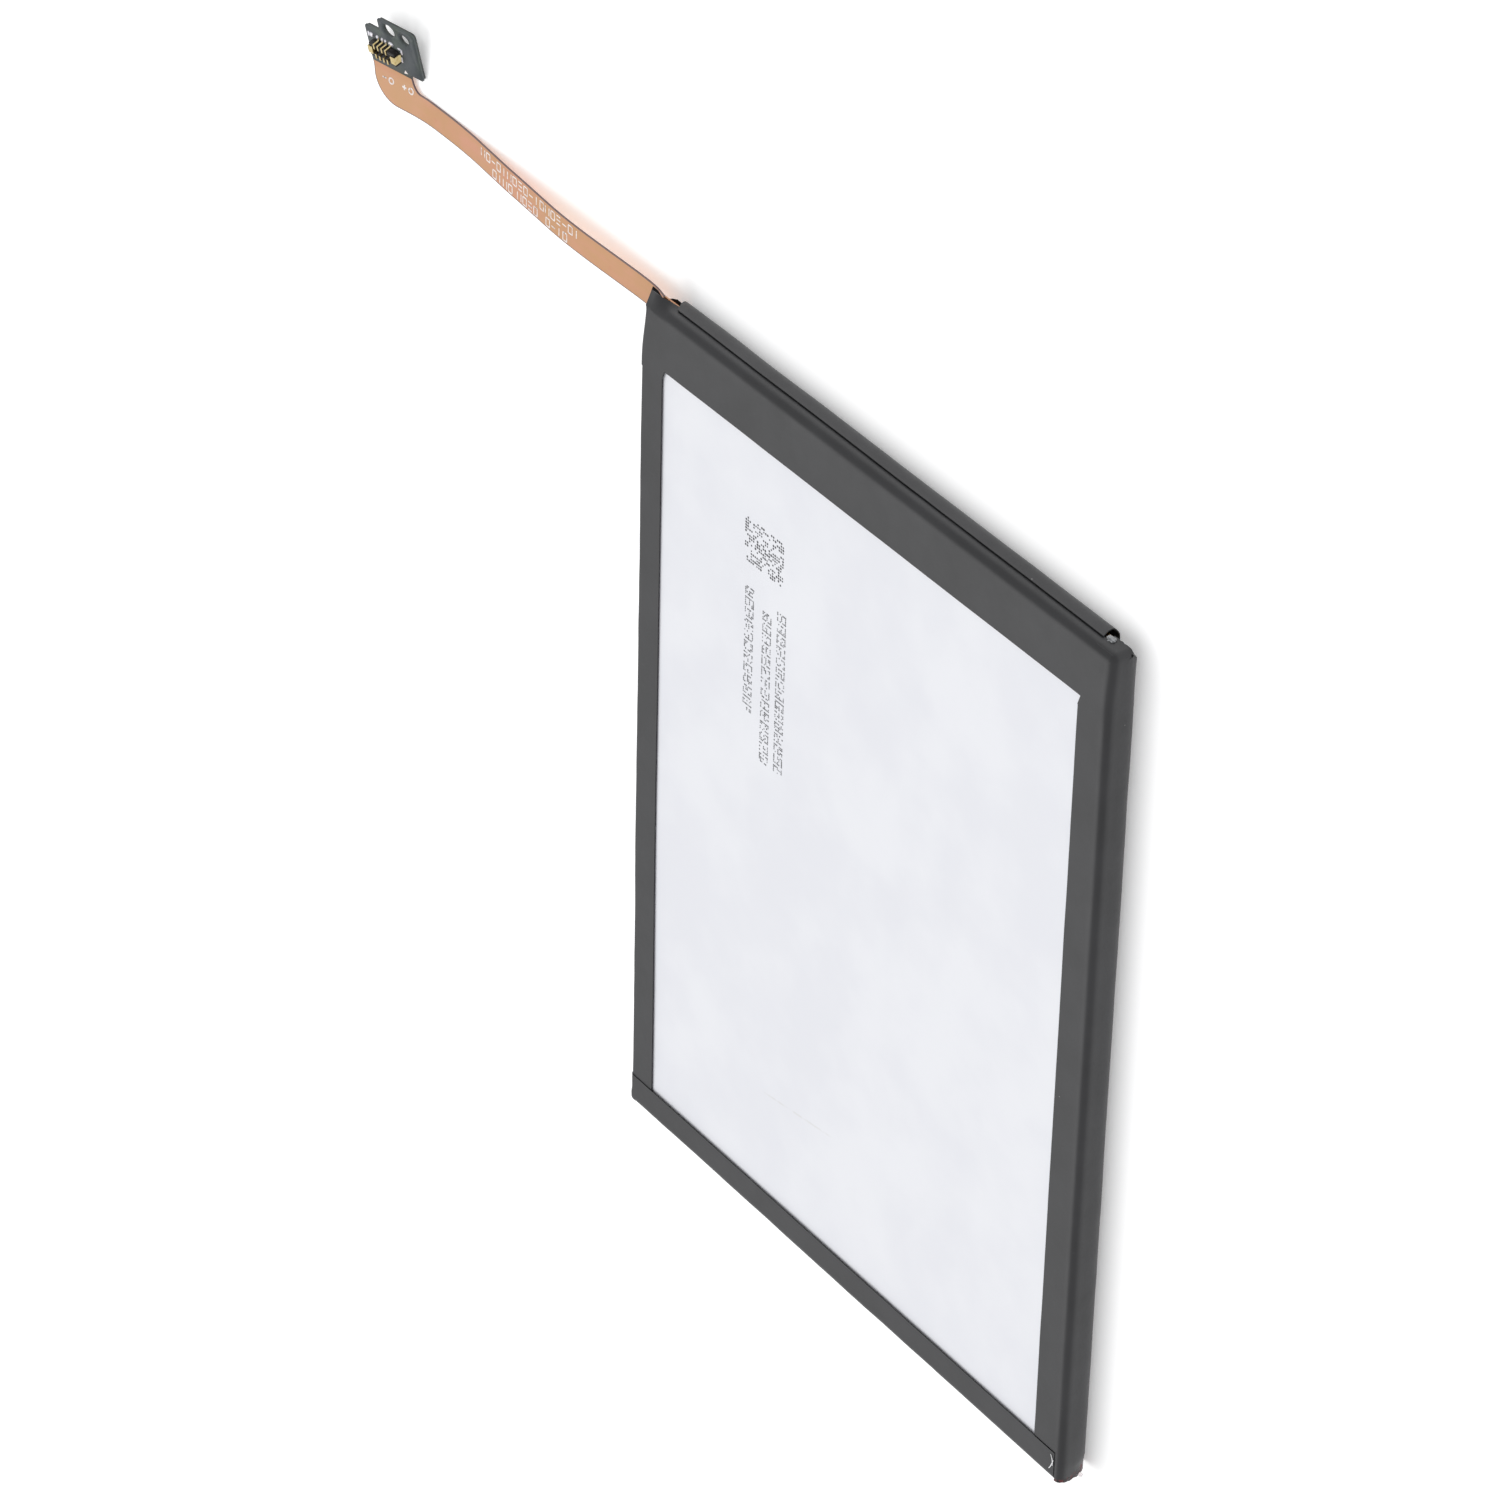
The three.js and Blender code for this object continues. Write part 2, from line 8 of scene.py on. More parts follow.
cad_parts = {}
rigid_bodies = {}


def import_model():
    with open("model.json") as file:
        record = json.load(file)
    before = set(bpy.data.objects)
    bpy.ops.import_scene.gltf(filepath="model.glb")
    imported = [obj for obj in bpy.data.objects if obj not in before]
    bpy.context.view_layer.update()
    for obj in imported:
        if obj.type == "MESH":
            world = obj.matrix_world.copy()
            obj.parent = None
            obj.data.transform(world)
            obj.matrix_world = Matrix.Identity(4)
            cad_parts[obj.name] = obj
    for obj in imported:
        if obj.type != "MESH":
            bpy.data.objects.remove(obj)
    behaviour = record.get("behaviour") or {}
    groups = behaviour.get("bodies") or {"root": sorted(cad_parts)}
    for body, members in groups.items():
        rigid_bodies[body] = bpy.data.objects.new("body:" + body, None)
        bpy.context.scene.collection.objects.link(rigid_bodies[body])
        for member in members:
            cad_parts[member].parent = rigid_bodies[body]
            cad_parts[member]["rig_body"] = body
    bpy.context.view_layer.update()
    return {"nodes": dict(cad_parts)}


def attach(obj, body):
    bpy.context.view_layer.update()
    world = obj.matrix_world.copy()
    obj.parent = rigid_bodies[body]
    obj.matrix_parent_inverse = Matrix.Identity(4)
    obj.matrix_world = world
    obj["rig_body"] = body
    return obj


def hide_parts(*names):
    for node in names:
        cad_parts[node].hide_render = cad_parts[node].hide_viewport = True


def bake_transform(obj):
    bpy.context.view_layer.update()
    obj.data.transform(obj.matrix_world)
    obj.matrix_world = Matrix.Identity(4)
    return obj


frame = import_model()
node = frame["nodes"]
MM = 0.001


# ---- the table it lies on, the light and the camera -----------------------------------------------
# A white sheet under the cell, which glows faintly as painted light that lifts the shadows round the cell,
# a white room and one broad soft lamp above. The lens is long, so the cell's edges stay almost parallel.
CAMERA_AT = Vector((376.16, 351.51, 292.11)) * MM
CAMERA_RIGHT = Vector((0.58065, 0.02111, -0.81388))
CAMERA_UP = Vector((-0.48130, 0.81518, -0.32224))
LENS = 164.487
TABLE_HALF = 3.0
ROOM_LIGHT = 0.76
LAMP_WATTS = 2.6


class Wire:
    """One output in a material's nodes. Sums, differences and products of wires add Math nodes."""

    def __init__(self, finish, socket):
        self.finish, self.socket = finish, socket

    def math(self, operation, *others):
        values = dict(enumerate((self, *others)))
        return self.finish.node("ShaderNodeMath", {"operation": operation}, values)

    def swapped(self, operation, other):
        return self.finish.node("ShaderNodeMath", {"operation": operation}, {0: other, 1: self})

    def __add__(self, other):
        return self.math("ADD", other)

    __radd__ = __add__

    def __sub__(self, other):
        return self.math("SUBTRACT", other)

    def __rsub__(self, other):
        return self.swapped("SUBTRACT", other)

    def __mul__(self, other):
        return self.math("MULTIPLY", other)

    __rmul__ = __mul__

    def __truediv__(self, other):
        return self.math("DIVIDE", other)

    def __abs__(self):
        return self.math("ABSOLUTE")

    def ramp(self, low, high):
        """0 below low, 1 above high, smooth between; low may be the larger."""
        sockets = {"Value": self, "From Min": low, "From Max": high}
        return self.finish.node("ShaderNodeMapRange", {"interpolation_type": "SMOOTHSTEP"}, sockets)


class Finish:
    """A material in the making, with its own place on the piece as x, y and z wires, in metres."""

    def __init__(self, name, roughness=0.5, metallic=0.0, **constants):
        self.material = bpy.data.materials.new(name)
        self.material.use_nodes = True
        self.tree = self.material.node_tree
        self.shader = self.tree.nodes["Principled BSDF"]
        self.shader.inputs["Roughness"].default_value = roughness
        self.shader.inputs["Metallic"].default_value = metallic
        for key, value in constants.items():
            self.shader.inputs[key.replace("_", " ")].default_value = value
        self.place = self.node("ShaderNodeTexCoord", out="Object")
        self.x, self.y, self.z = (
            self.node("ShaderNodeSeparateXYZ", sockets={0: self.place}, out=i) for i in range(3)
        )

    def node(self, kind, settings=None, sockets=None, out=0):
        made = self.tree.nodes.new(kind)
        for key, value in (settings or {}).items():
            setattr(made, key, value)
        for key, value in (sockets or {}).items():
            if isinstance(value, Wire):
                self.tree.links.new(value.socket, made.inputs[key])
            else:
                made.inputs[key].default_value = value
        return Wire(self, made.outputs[out])

    def mix(self, factor, first, second):
        """Colours, as (r, g, b) or wires, mixed by a wire."""
        whole = [c if isinstance(c, Wire) else (*c, 1.0) for c in (first, second)]
        settings = {"data_type": "RGBA"}
        return self.node("ShaderNodeMix", settings, {0: factor, 6: whole[0], 7: whole[1]}, out=2)

    def noise(self, size, detail=2.0, stretch=(1, 1, 1), roughness=0.5):
        """Soft blotches about size metres across, from 0 to 1, drawn out along an axis by stretch."""
        scale = tuple(1 / size / s for s in stretch)
        spot = self.node("ShaderNodeMapping", sockets={0: self.place, "Scale": scale})
        sockets = {"Vector": spot, "Scale": 1.0, "Detail": detail, "Roughness": roughness}
        return self.node("ShaderNodeTexNoise", sockets=sockets)

    def specks(self, size, radius):
        """1 inside small round grains, one to each cell of that size; radius is a share of it."""
        spot = self.node("ShaderNodeMapping", sockets={0: self.place, "Scale": (1 / size,) * 3})
        far = self.node("ShaderNodeTexVoronoi", sockets={"Vector": spot, "Scale": 1.0})
        return far.ramp(radius, radius * 0.6)

    def feed(self, **wires):
        for key, wire in wires.items():
            self.tree.links.new(wire.socket, self.shader.inputs[key.replace("_", " ")])
        return self

    def bump(self, height, distance, strength=1.0):
        sockets = {"Strength": strength, "Distance": distance, "Height": height}
        return self.feed(Normal=self.node("ShaderNodeBump", sockets=sockets))


def shade(red, green, blue):
    """A colour as a paint chart gives it, 0 to 255, in the light values the nodes take."""
    return tuple(((c / 255 + 0.055) / 1.055) ** 2.4 if c > 10 else c / 3295 for c in (red, green, blue))


def in_place(name, build):
    """A mesh object at the origin, made by build(bmesh), with its faces smooth up to 35 degrees."""
    form = bmesh.new()
    build(form)
    mesh = bpy.data.meshes.new(name)
    form.to_mesh(mesh)
    form.free()
    piece = bpy.data.objects.new(name, mesh)
    bpy.context.scene.collection.objects.link(piece)
    mesh.shade_smooth()
    mesh.set_sharp_from_angle(angle=math.radians(35))
    return piece


# The sheet's own glow (Emission Strength 0.3) is painted light: it fills the cell's shadows and lights its
# sides from below.
paper = Finish("glowing_table_paper", 0.9, Emission_Color=(1, 1, 1, 1), Emission_Strength=0.3)
paper.feed(Base_Color=paper.mix(paper.noise(0.05), (0.985, 0.985, 0.985), (0.99, 0.99, 0.99)))


def lay_table(form):
    corners = [(-1, -1), (1, -1), (1, 1), (-1, 1)]
    form.faces.new([form.verts.new((x * TABLE_HALF, y * TABLE_HALF, -0.00002)) for x, y in corners])


table = in_place("table", lay_table)
table.data.materials.append(paper.material)

room = bpy.data.worlds.new("room")
room.use_nodes = True
room.node_tree.nodes["Background"].inputs["Color"].default_value = (0.99, 0.993, 1.0, 1.0)
room.node_tree.nodes["Background"].inputs["Strength"].default_value = ROOM_LIGHT
bpy.context.scene.world = room
bpy.context.scene.view_settings.view_transform = "Standard"

lamp_data = bpy.data.lights.new("lamp", "AREA")
lamp_data.shape, lamp_data.size, lamp_data.size_y = "RECTANGLE", 1.0, 0.7
lamp_data.energy = LAMP_WATTS
lamp = bpy.data.objects.new("lamp", lamp_data)
lamp.location = (-0.35, -0.3, 0.75)
lamp.rotation_euler = (-lamp.location).to_track_quat("-Z", "Y").to_euler()
bpy.context.scene.collection.objects.link(lamp)

camera_data = bpy.data.cameras.new("camera")
camera_data.sensor_width = 36
camera_data.lens = LENS
camera_data.clip_start, camera_data.clip_end = 0.01, 20
camera = bpy.data.objects.new("camera", camera_data)
axes = Matrix((CAMERA_RIGHT, CAMERA_UP, CAMERA_RIGHT.cross(CAMERA_UP))).transposed().to_4x4()
camera.matrix_world = Matrix.Translation(CAMERA_AT) @ axes
bpy.context.scene.collection.objects.link(camera)
bpy.context.scene.camera = camera


# ---- flex tail: the free run ----------------------------------------------------------------------
# Amber polyimide film over rolled copper tracks, die cut to one outline, so it bends up and down
# but not in its own plane. It leaves the pack under the tape's loose corner.
FLEX = 0.16 * MM
FLEX_HALF = 1.25 * MM
FLEX_Y = 41.95 * MM
FLEX_START = -32.3
RUN_END = -71.15
FLEX_ROUTE = [
    (-30.4, 1.6), (-32.3, 1.62), (-32.6, 1.6), (-33.4, 1.42), (-34.6, 1.29), (-36.4, 1.26),
    (-38.6, 1.3), (-42.6, 1.4), (-46, 1.44), (-49, 1.38), (-52, 1.19), (-55, 0.97), (-58, 0.77),
    (-61, 0.52), (-64, 0.27), (-67, 0.14), (-70, 0.12), (-71.5, 0.15), (-73, 0.3), (-74.5, 0.54),
    (-78.6, 1.3),
]
FLEX_EDGE = 0.12 * MM                   # bare film outside the outermost track
FLEX_SKIN = 0.01 * MM                   # the film's upper face is let down this much
WELD = 0.002 * MM                       # points nearer than this are one


def flex_height(x):
    """The middle of the film above the table at x, in millimetres, on a smooth line."""
    i = next((k for k, (at, _) in enumerate(FLEX_ROUTE) if at <= x), len(FLEX_ROUTE) - 1)
    i = max(i, 1)
    (x0, z0), (x1, z1) = FLEX_ROUTE[i - 1], FLEX_ROUTE[i]
    before, after = FLEX_ROUTE[max(i - 2, 0)], FLEX_ROUTE[min(i + 1, len(FLEX_ROUTE) - 1)]
    t = (x - x0) / (x1 - x0)
    slope0 = (z1 - before[1]) / (x1 - before[0]) * (x1 - x0)
    slope1 = (after[1] - z0) / (after[0] - x0) * (x1 - x0)
    a = 2 * t**3 - 3 * t**2 + 1
    return a * z0 + (t**3 - 2 * t**2 + t) * slope0 + (1 - a) * z1 + (t**3 - t**2) * slope1


def sheet_of(form, grid, thickness, keep=None):
    """A closed film through a grid of outer points, its thickness laid inwards along the normals."""
    outer = [[form.verts.new(p) for p in row] for row in grid]
    for j, (a, b) in enumerate(zip(outer, outer[1:])):
        for i in range(len(a) - 1):
            if keep is None or all((keep[j][i], keep[j][i + 1], keep[j + 1][i], keep[j + 1][i + 1])):
                form.faces.new((a[i], a[i + 1], b[i + 1], b[i]))
    bmesh.ops.remove_doubles(form, verts=form.verts, dist=WELD)
    bmesh.ops.delete(form, geom=[v for v in form.verts if not v.link_faces], context="VERTS")
    form.normal_update()
    below = {v: form.verts.new(v.co - v.normal * thickness) for v in list(form.verts)}
    for face in list(form.faces):
        form.faces.new([below[v] for v in reversed(face.verts)])
    for edge in [e for e in form.edges if len(e.link_faces) == 1 and e.verts[0] in below]:
        loop = next(lo for lo in edge.link_faces[0].loops if lo.edge == edge)
        a, b = loop.vert, loop.link_loop_next.vert
        form.faces.new([b, a, below[a], below[b]])


def mark_edges(piece, far):
    """Keeps how far each point is from the film's cut edge, in metres, for the film's own pattern."""
    kept = piece.data.attributes.new("film_across", "FLOAT", "POINT")
    kept.data.foreach_set("value", far)


def fitted(piece, material, body):
    """Gives a piece its material and the body that it moves with."""
    piece.data.materials.append(material)
    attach(piece, body)
    return piece


def flex_film():
    """Polyimide over copper: paler over the tracks, darker where only film is left at the edges."""
    film = Finish("polyimide", roughness=0.36, Specular_IOR_Level=0.45, Coat_Roughness=0.12)
    across = film.node("ShaderNodeAttribute", {"attribute_name": "film_across"}, out="Fac")
    edge = across.ramp(FLEX_EDGE * 0.45, FLEX_EDGE * 0.95)
    track = film.noise(0.9 * MM, stretch=(8, 1, 1)).ramp(0.3, 0.7)
    tone = film.mix(film.noise(4 * MM, 3).ramp(0.35, 0.65), shade(206, 150, 104), shade(214, 150, 116))
    tone = film.mix(track * 0.35, tone, shade(200, 152, 92))
    tone = film.mix(film.noise(1.2 * MM).ramp(0.62, 0.8) * 0.35, tone, shade(206, 132, 98))
    tone = film.mix(edge, shade(104, 78, 84), tone)
    cut = film.node("ShaderNodeNewGeometry", out="Normal")
    upward = abs(film.node("ShaderNodeSeparateXYZ", sockets={0: cut}, out=2))
    film.feed(Base_Color=film.mix(upward.ramp(0.45, 0.75), shade(92, 62, 58), tone))
    film.feed(Roughness=0.3 + film.noise(0.7 * MM, 3) * 0.14)
    film.feed(Coat_Weight=0.12 + film.noise(3 * MM) * 0.1)
    film.bump(film.noise(1.6 * MM, 2, stretch=(3, 1, 1)) + edge * 0.5, 0.012 * MM, 0.6)
    return film.material


def lay_run(form):
    count = 130
    rows = []
    for k in range(count + 1):
        x = FLEX_START + (RUN_END - FLEX_START) * k / count
        z = flex_height(x) * MM + FLEX / 2
        sides = [-1, -0.97, -0.9, -0.6, -0.2, 0.2, 0.6, 0.9, 0.97, 1]
        rows.append([Vector((x * MM, FLEX_Y + s * FLEX_HALF, z - FLEX_SKIN * s**8)) for s in sides])
    sheet_of(form, rows, FLEX - FLEX_SKIN)


polyimide = flex_film()
flex_ribbon = in_place("flex_ribbon", lay_run)
mark_edges(flex_ribbon, [FLEX_HALF - abs(v.co.y - FLEX_Y) for v in flex_ribbon.data.vertices])
flex_ribbon.data.materials.append(polyimide)
run_line = [FLEX_START + (RUN_END - FLEX_START) * k / 40 for k in range(41)]
run_path = [(x * MM, FLEX_Y, flex_height(x) * MM) for x in run_line]
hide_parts("flex_run")
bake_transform(flex_ribbon)

def dress(material, *names):
    """Gives CAD nodes, as they stand, one material."""
    for name in names:
        node[name].data.materials.clear()
        node[name].data.materials.append(material)


def root_film():
    film = Finish("polyimide_root", roughness=0.35)
    film.feed(Base_Color=film.mix(film.noise(1 * MM), shade(190, 130, 84), shade(206, 150, 110)))
    film.feed(Roughness=0.3 + film.noise(0.7 * MM, 3) * 0.14)
    return film.bump(film.noise(1.6 * MM, 2), 0.012 * MM, 0.6).material


dress(root_film(), "flex_root")


# ---- flex tail: the corner and the neck -----------------------------------------------------------
# The same film, cut to turn towards the head. It widens from 2.5 to 5 mm, lifts off the table on
# the way, and carries the polarity marks of its two power tracks.
HEAD_AT = Vector((-78.463, 44.475, 1.473)) * MM
HEAD_PITCH = 0.249                      # the neck climbs at this angle, in radians, to meet the head
HEAD_TURN = Euler((HEAD_PITCH, 0.184, -0.004), "XYZ").to_matrix()
NECK_LEFT, NECK_RIGHT = -78.42, -73.4
NECK_RADII = 3.0, 1.0
NECK_END = 44.45
LIFT_FROM, LIFT_OVER = 42.9, 1.4


def at_head(x, y, z=0.0):
    """A point of the head's own tilted frame, given in millimetres from its lower left corner."""
    return HEAD_AT + HEAD_TURN @ (Vector((x, y, z)) * MM)


def rail(start, turn, end, radius, steps):
    """Points along one edge of the corner: straight in, round an arc, and straight up the neck."""
    start, turn, end = Vector(start), Vector(turn), Vector(end)
    into, out = (turn - start).normalized(), (end - turn).normalized()
    half = into.angle(out) / 2
    cut = radius * math.tan(half)
    side = -1 if into.cross(out) < 0 else 1
    centre = turn - into * cut + Vector((-into.y, into.x)) * radius * side
    first, last = turn - into * cut, turn + out * cut
    points = [start.lerp(first, k / 8) for k in range(8)]
    for k in range(steps + 1):
        way = (first - centre).slerp(last - centre, k / steps, Vector((1, 0))) * radius
        points.append(centre + way)
    return points + [last.lerp(end, k / 14) for k in range(1, 15)]


def neck_lift(y):
    rise = math.tan(HEAD_PITCH)
    t = min(max((y - LIFT_FROM) / LIFT_OVER, 0), 1)
    return rise * LIFT_OVER * t * t / 2 + rise * max(y - LIFT_FROM - LIFT_OVER, 0)


def neck_point(x, y):
    """The film's upper surface on the corner and the neck, brought flush with the head."""
    level = flex_height(x) + neck_lift(y) + FLEX / MM / 2
    near = min(max((y - LIFT_FROM) / (NECK_END - LIFT_FROM), 0), 1)
    near = near * near * (3 - 2 * near)
    across = (x * MM - HEAD_AT.x) / HEAD_TURN[0][0]
    flush = at_head(across / MM, (y - HEAD_AT.y / MM) / HEAD_TURN[1][1]).z / MM
    return Vector((x, y, level * (1 - near) + flush * near)) * MM


def lay_corner(form):
    low, high = (FLEX_Y - FLEX_HALF) / MM, (FLEX_Y + FLEX_HALF) / MM
    outer = rail((RUN_END, low), (NECK_LEFT, low), (NECK_LEFT - 0.04, NECK_END + 0.022), NECK_RADII[0], 14)
    top = NECK_RIGHT - 0.12, NECK_END + 0.002
    inner = rail((RUN_END, high), (NECK_RIGHT, high), top, NECK_RADII[1], 14)
    shares = [0, 0.02, 0.06] + [k / 10 for k in range(1, 10)] + [0.94, 0.98, 1]
    rows = []
    for a, b in zip(outer, inner):
        rows.append([neck_point(*a.lerp(b, s)) for s in shares])
    sheet_of(form, rows, FLEX - FLEX_SKIN)
    edge_far = form.verts.layers.float.new("edge_far")
    lines = [Vector((p.x, p.y)) * MM for p in outer], [Vector((p.x, p.y)) * MM for p in inner]
    for vert in form.verts:
        flat = Vector((vert.co.x, vert.co.y))
        vert[edge_far] = min(line_distance(flat, line) for line in lines)


def line_distance(point, line):
    best = 1.0
    for a, b in zip(line, line[1:]):
        t = min(max((point - a).dot(b - a) / max((b - a).length_squared, 1e-12), 0), 1)
        best = min(best, (point - a.lerp(b, t)).length)
    return best


flex_corner = in_place("flex_corner", lay_corner)
mark_edges(flex_corner, [d.value for d in flex_corner.data.attributes["edge_far"].data])
flex_corner.data.materials.append(polyimide)
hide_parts("flex_neck")
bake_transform(flex_corner)


# ---- printing on the flex -------------------------------------------------------------------------
# White silkscreen ink, a few hundredths thick: two rows of plain strokes along the run, and a minus
# and a plus, each with a ring, on the neck.
INK = 0.012 * MM
STROKE = 0.13 * MM


def silkscreen():
    ink = Finish("white_ink", roughness=0.6)
    wear = ink.noise(0.25 * MM, 3).ramp(0.3, 0.6)
    ink.feed(Base_Color=ink.mix(wear, shade(226, 205, 196), shade(250, 244, 240)))
    return ink.material


def stroke_on(form, surface, a, b, width=STROKE):
    """An ink stroke from a to b on a surface that gives a point for any x and y in millimetres."""
    a, b = Vector(a), Vector(b)
    steps = max(2, int((b - a).length / 0.2))
    side = Vector((-(b - a).y, (b - a).x)).normalized() * width / MM / 2
    lift = Vector((0, 0, INK))
    rows = []
    for k in range(steps + 1):
        p = a.lerp(b, k / steps)
        rows.append([surface(*(p - side)) + lift, surface(*(p + side)) + lift])
    under = [[p - lift * 0.9 for p in row] for row in rows]
    for k in range(steps):
        top = [form.verts.new(p) for p in (*rows[k], *reversed(rows[k + 1]))]
        low = [form.verts.new(p) for p in (*under[k], *reversed(under[k + 1]))]
        form.faces.new(top)
        form.faces.new(list(reversed(low)))
        for i in range(4):
            j = (i + 1) % 4
            form.faces.new([top[j], top[i], low[i], low[j]])
    bmesh.ops.remove_doubles(form, verts=form.verts, dist=0.0002 * MM)


def on_run(x, y):
    return Vector((x * MM, y * MM, flex_height(x) * MM + FLEX / 2))


def print_run(form):
    """Upright strokes, bars and boxes in two rows, with no character among them."""
    tall, wide, step = 0.78, 0.62, 0.95
    order = [0, 2, 1, 2, 3, 0, 2, 4, 2, 1, 3, 2, 0, 2, 4, 1, 2, 3]
    rows = [(-62.4, 42.05, 18, order), (-60.3, 40.92, 4, order[3:]), (-55.9, 40.92, 4, order[5:]),
            (-50.9, 40.92, 4, order[8:])]
    for x0, y0, count, shapes in rows:
        for k in range(count):
            x = x0 + k * step
            left, right, low, high, mid = x, x + wide, y0, y0 + tall, y0 + tall / 2
            strokes = {
                0: [((left, low), (left, high)), ((right, low), (right, high))],
                1: [((left, mid), (right, mid))],
                2: [((left, low), (right, low)), ((right, low), (right, high)),
                    ((right, high), (left, high)), ((left, high), (left, low))],
                3: [((left + wide / 2, low), (left + wide / 2, high))],
                4: [((left, low), (right, low)), ((left, mid), (right, mid)), ((left, high), (right, high))],
            }[shapes[k % len(shapes)]]
            for a, b in strokes:
                stroke_on(form, on_run, a, b)


def print_neck(form):
    for x, plus in ((-77.16, False), (-74.62, True)):
        stroke_on(form, neck_point, (x - 0.26, 43.12), (x + 0.26, 43.12), 0.16 * MM)
        if plus:
            stroke_on(form, neck_point, (x, 42.86), (x, 43.38), 0.16 * MM)
        ring = [(x + 0.86 + 0.29 * math.cos(a), 43.08 + 0.29 * math.sin(a))
                for a in (math.tau * k / 12 for k in range(13))]
        for a, b in zip(ring, ring[1:]):
            stroke_on(form, neck_point, a, b, 0.15 * MM)


white_ink = silkscreen()
for name, lay in (("flex_print", print_run), ("polarity_marks", print_neck)):
    fitted(in_place(name, lay), white_ink, "flex_tail")


# ---- head: cover film and stiffener ---------------------------------------------------------------
# The neck ends in a stiff head: dark cover film over the copper, bonded to a glass-laminate plate,
# punched with two locating holes. The edges are sheared, so they are only slightly rounded.
SHEAR = 0.03 * MM                       # how far the cut edges are rounded
SHARP = math.radians(50)                # edges bent more than this are cut edges


def worked(name, bevel, material):
    """A CAD node's own shape as one smooth mesh with its edges rounded; it stands for the node."""
    def build(form):
        form.from_mesh(node[name].data)
        bmesh.ops.remove_doubles(form, verts=form.verts, dist=0.001 * MM)
        bmesh.ops.dissolve_limit(form, angle_limit=math.radians(1.5), verts=form.verts, edges=form.edges)
        sharp = [e for e in form.edges if len(e.link_faces) == 2 and e.calc_face_angle(0) > SHARP]
        bmesh.ops.bevel(form, geom=sharp, offset=bevel, segments=2, affect="EDGES", clamp_overlap=True)
        bmesh.ops.triangulate(form, faces=[f for f in form.faces if len(f.verts) > 4])

    piece = fitted(in_place(f"{name}_finished", build), material, node[name]["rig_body"])
    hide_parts(name)
    return piece


def cover_film():
    film = Finish("cover_film", roughness=0.46)
    tone = film.mix(film.noise(1.6 * MM, 3).ramp(0.35, 0.7), shade(66, 72, 76), shade(76, 86, 80))
    tone = film.mix(film.noise(0.35 * MM, 3).ramp(0.6, 0.8) * 0.5, tone, shade(92, 92, 100))
    film.feed(Base_Color=tone)
    film.feed(Roughness=0.4 + film.noise(0.3 * MM) * 0.16)
    return film.bump(film.noise(0.22 * MM, 3), 0.01 * MM, 0.5).material


def laminate_board():
    plate = Finish("stiffener_plate", roughness=0.55)
    weave = plate.noise(0.25 * MM, 1, stretch=(4, 1, 1)) * plate.noise(0.25 * MM, 1, stretch=(1, 4, 1))
    plate.feed(Base_Color=plate.mix(weave.ramp(0.1, 0.4), shade(46, 50, 50), shade(70, 74, 70)))
    return plate.bump(weave, 0.01 * MM, 0.6).material


head_cover = worked("head_film", SHEAR, cover_film())
head_plate = worked("head_stiffener", SHEAR, laminate_board())


# ---- head: board connector ------------------------------------------------------------------------
# A black moulded housing, 3.3 mm long, with a slot round a centre tongue. Four gilded springs on each
# side carry the signals, and a wide one at each end carries the current. They are soldered by their feet.
def moulding():
    black = Finish("connector_moulding", roughness=0.42)
    black.feed(Base_Color=black.mix(black.noise(0.3 * MM, 3), shade(22, 20, 20), shade(40, 36, 33)))
    black.feed(Roughness=0.36 + black.noise(0.15 * MM) * 0.16)
    return black.bump(black.noise(0.06 * MM, 2), 0.004 * MM, 0.5).material


def gilding():
    gold = Finish("gold_plate", roughness=0.28, metallic=1.0)
    wear = gold.noise(0.3 * MM, 3).ramp(0.3, 0.7)
    gold.feed(Base_Color=gold.mix(wear, shade(214, 190, 128), shade(232, 214, 164)))
    gold.feed(Roughness=0.24 + gold.noise(0.1 * MM) * 0.16)
    return gold.bump(gold.noise(0.04 * MM, 2), 0.002 * MM, 0.5).material


def solder():
    tin = Finish("solder", roughness=0.34, metallic=0.85)
    tin.feed(Base_Color=tin.mix(tin.noise(0.12 * MM, 3), shade(206, 204, 214), shade(244, 242, 246)))
    tin.feed(Roughness=0.28 + tin.noise(0.08 * MM) * 0.2)
    return tin.bump(tin.noise(0.06 * MM, 2), 0.006 * MM, 0.6).material


housing = worked("connector_housing", 0.035 * MM, moulding())
gold_plate = gilding()
contact_names = [f"signal_contact_{k}" for k in range(1, 9)] + ["power_contact_left", "power_contact_right"]
contacts = [worked(name, 0.018 * MM, gold_plate) for name in contact_names]


def fillet(form, x0, x1, y0, y1, height):
    """A soft drop of solder over a rectangle on the head, in its own frame."""
    across, along = 8, 8
    rows = []
    for j in range(along + 1):
        v = j / along * 2 - 1
        row = []
        for i in range(across + 1):
            u = i / across * 2 - 1
            round_u = u * math.sqrt(max(1 - v * v / 2.4, 0))
            round_v = v * math.sqrt(max(1 - u * u / 2.4, 0))
            swell = math.sqrt(max((1 - u**4) * (1 - v**4), 0))
            row.append(at_head((x0 + x1) / 2 + round_u * (x1 - x0) / 2,
                               (y0 + y1) / 2 + round_v * (y1 - y0) / 2, 0.004 + height * swell))
        rows.append(row)
    top = [[form.verts.new(p) for p in row] for row in rows]
    for a, b in zip(top, top[1:]):
        for i in range(across):
            form.faces.new((a[i], a[i + 1], b[i + 1], b[i]))
    rim = top[0] + [r[-1] for r in top[1:-1]] + top[-1][::-1] + [r[0] for r in top[-2:0:-1]]
    form.faces.new(rim[::-1])


FAR_FEET = [(0.42, 0.92), (1.28, 1.64), (1.94, 2.24), (2.38, 2.64), (2.86, 3.5)]
NEAR_FEET = [(1.42 + 0.5 * k, 1.68 + 0.5 * k) for k in range(4)]
END_FEET = [(0.2, 0.44, 2.9, 3.5, 0.08), (4.2, 4.42, 1.6, 2.3, 0.1), (4.4, 4.62, 2.6, 3.2, 0.1),
            (4.0, 4.46, 3.06, 3.3, 0.08)]


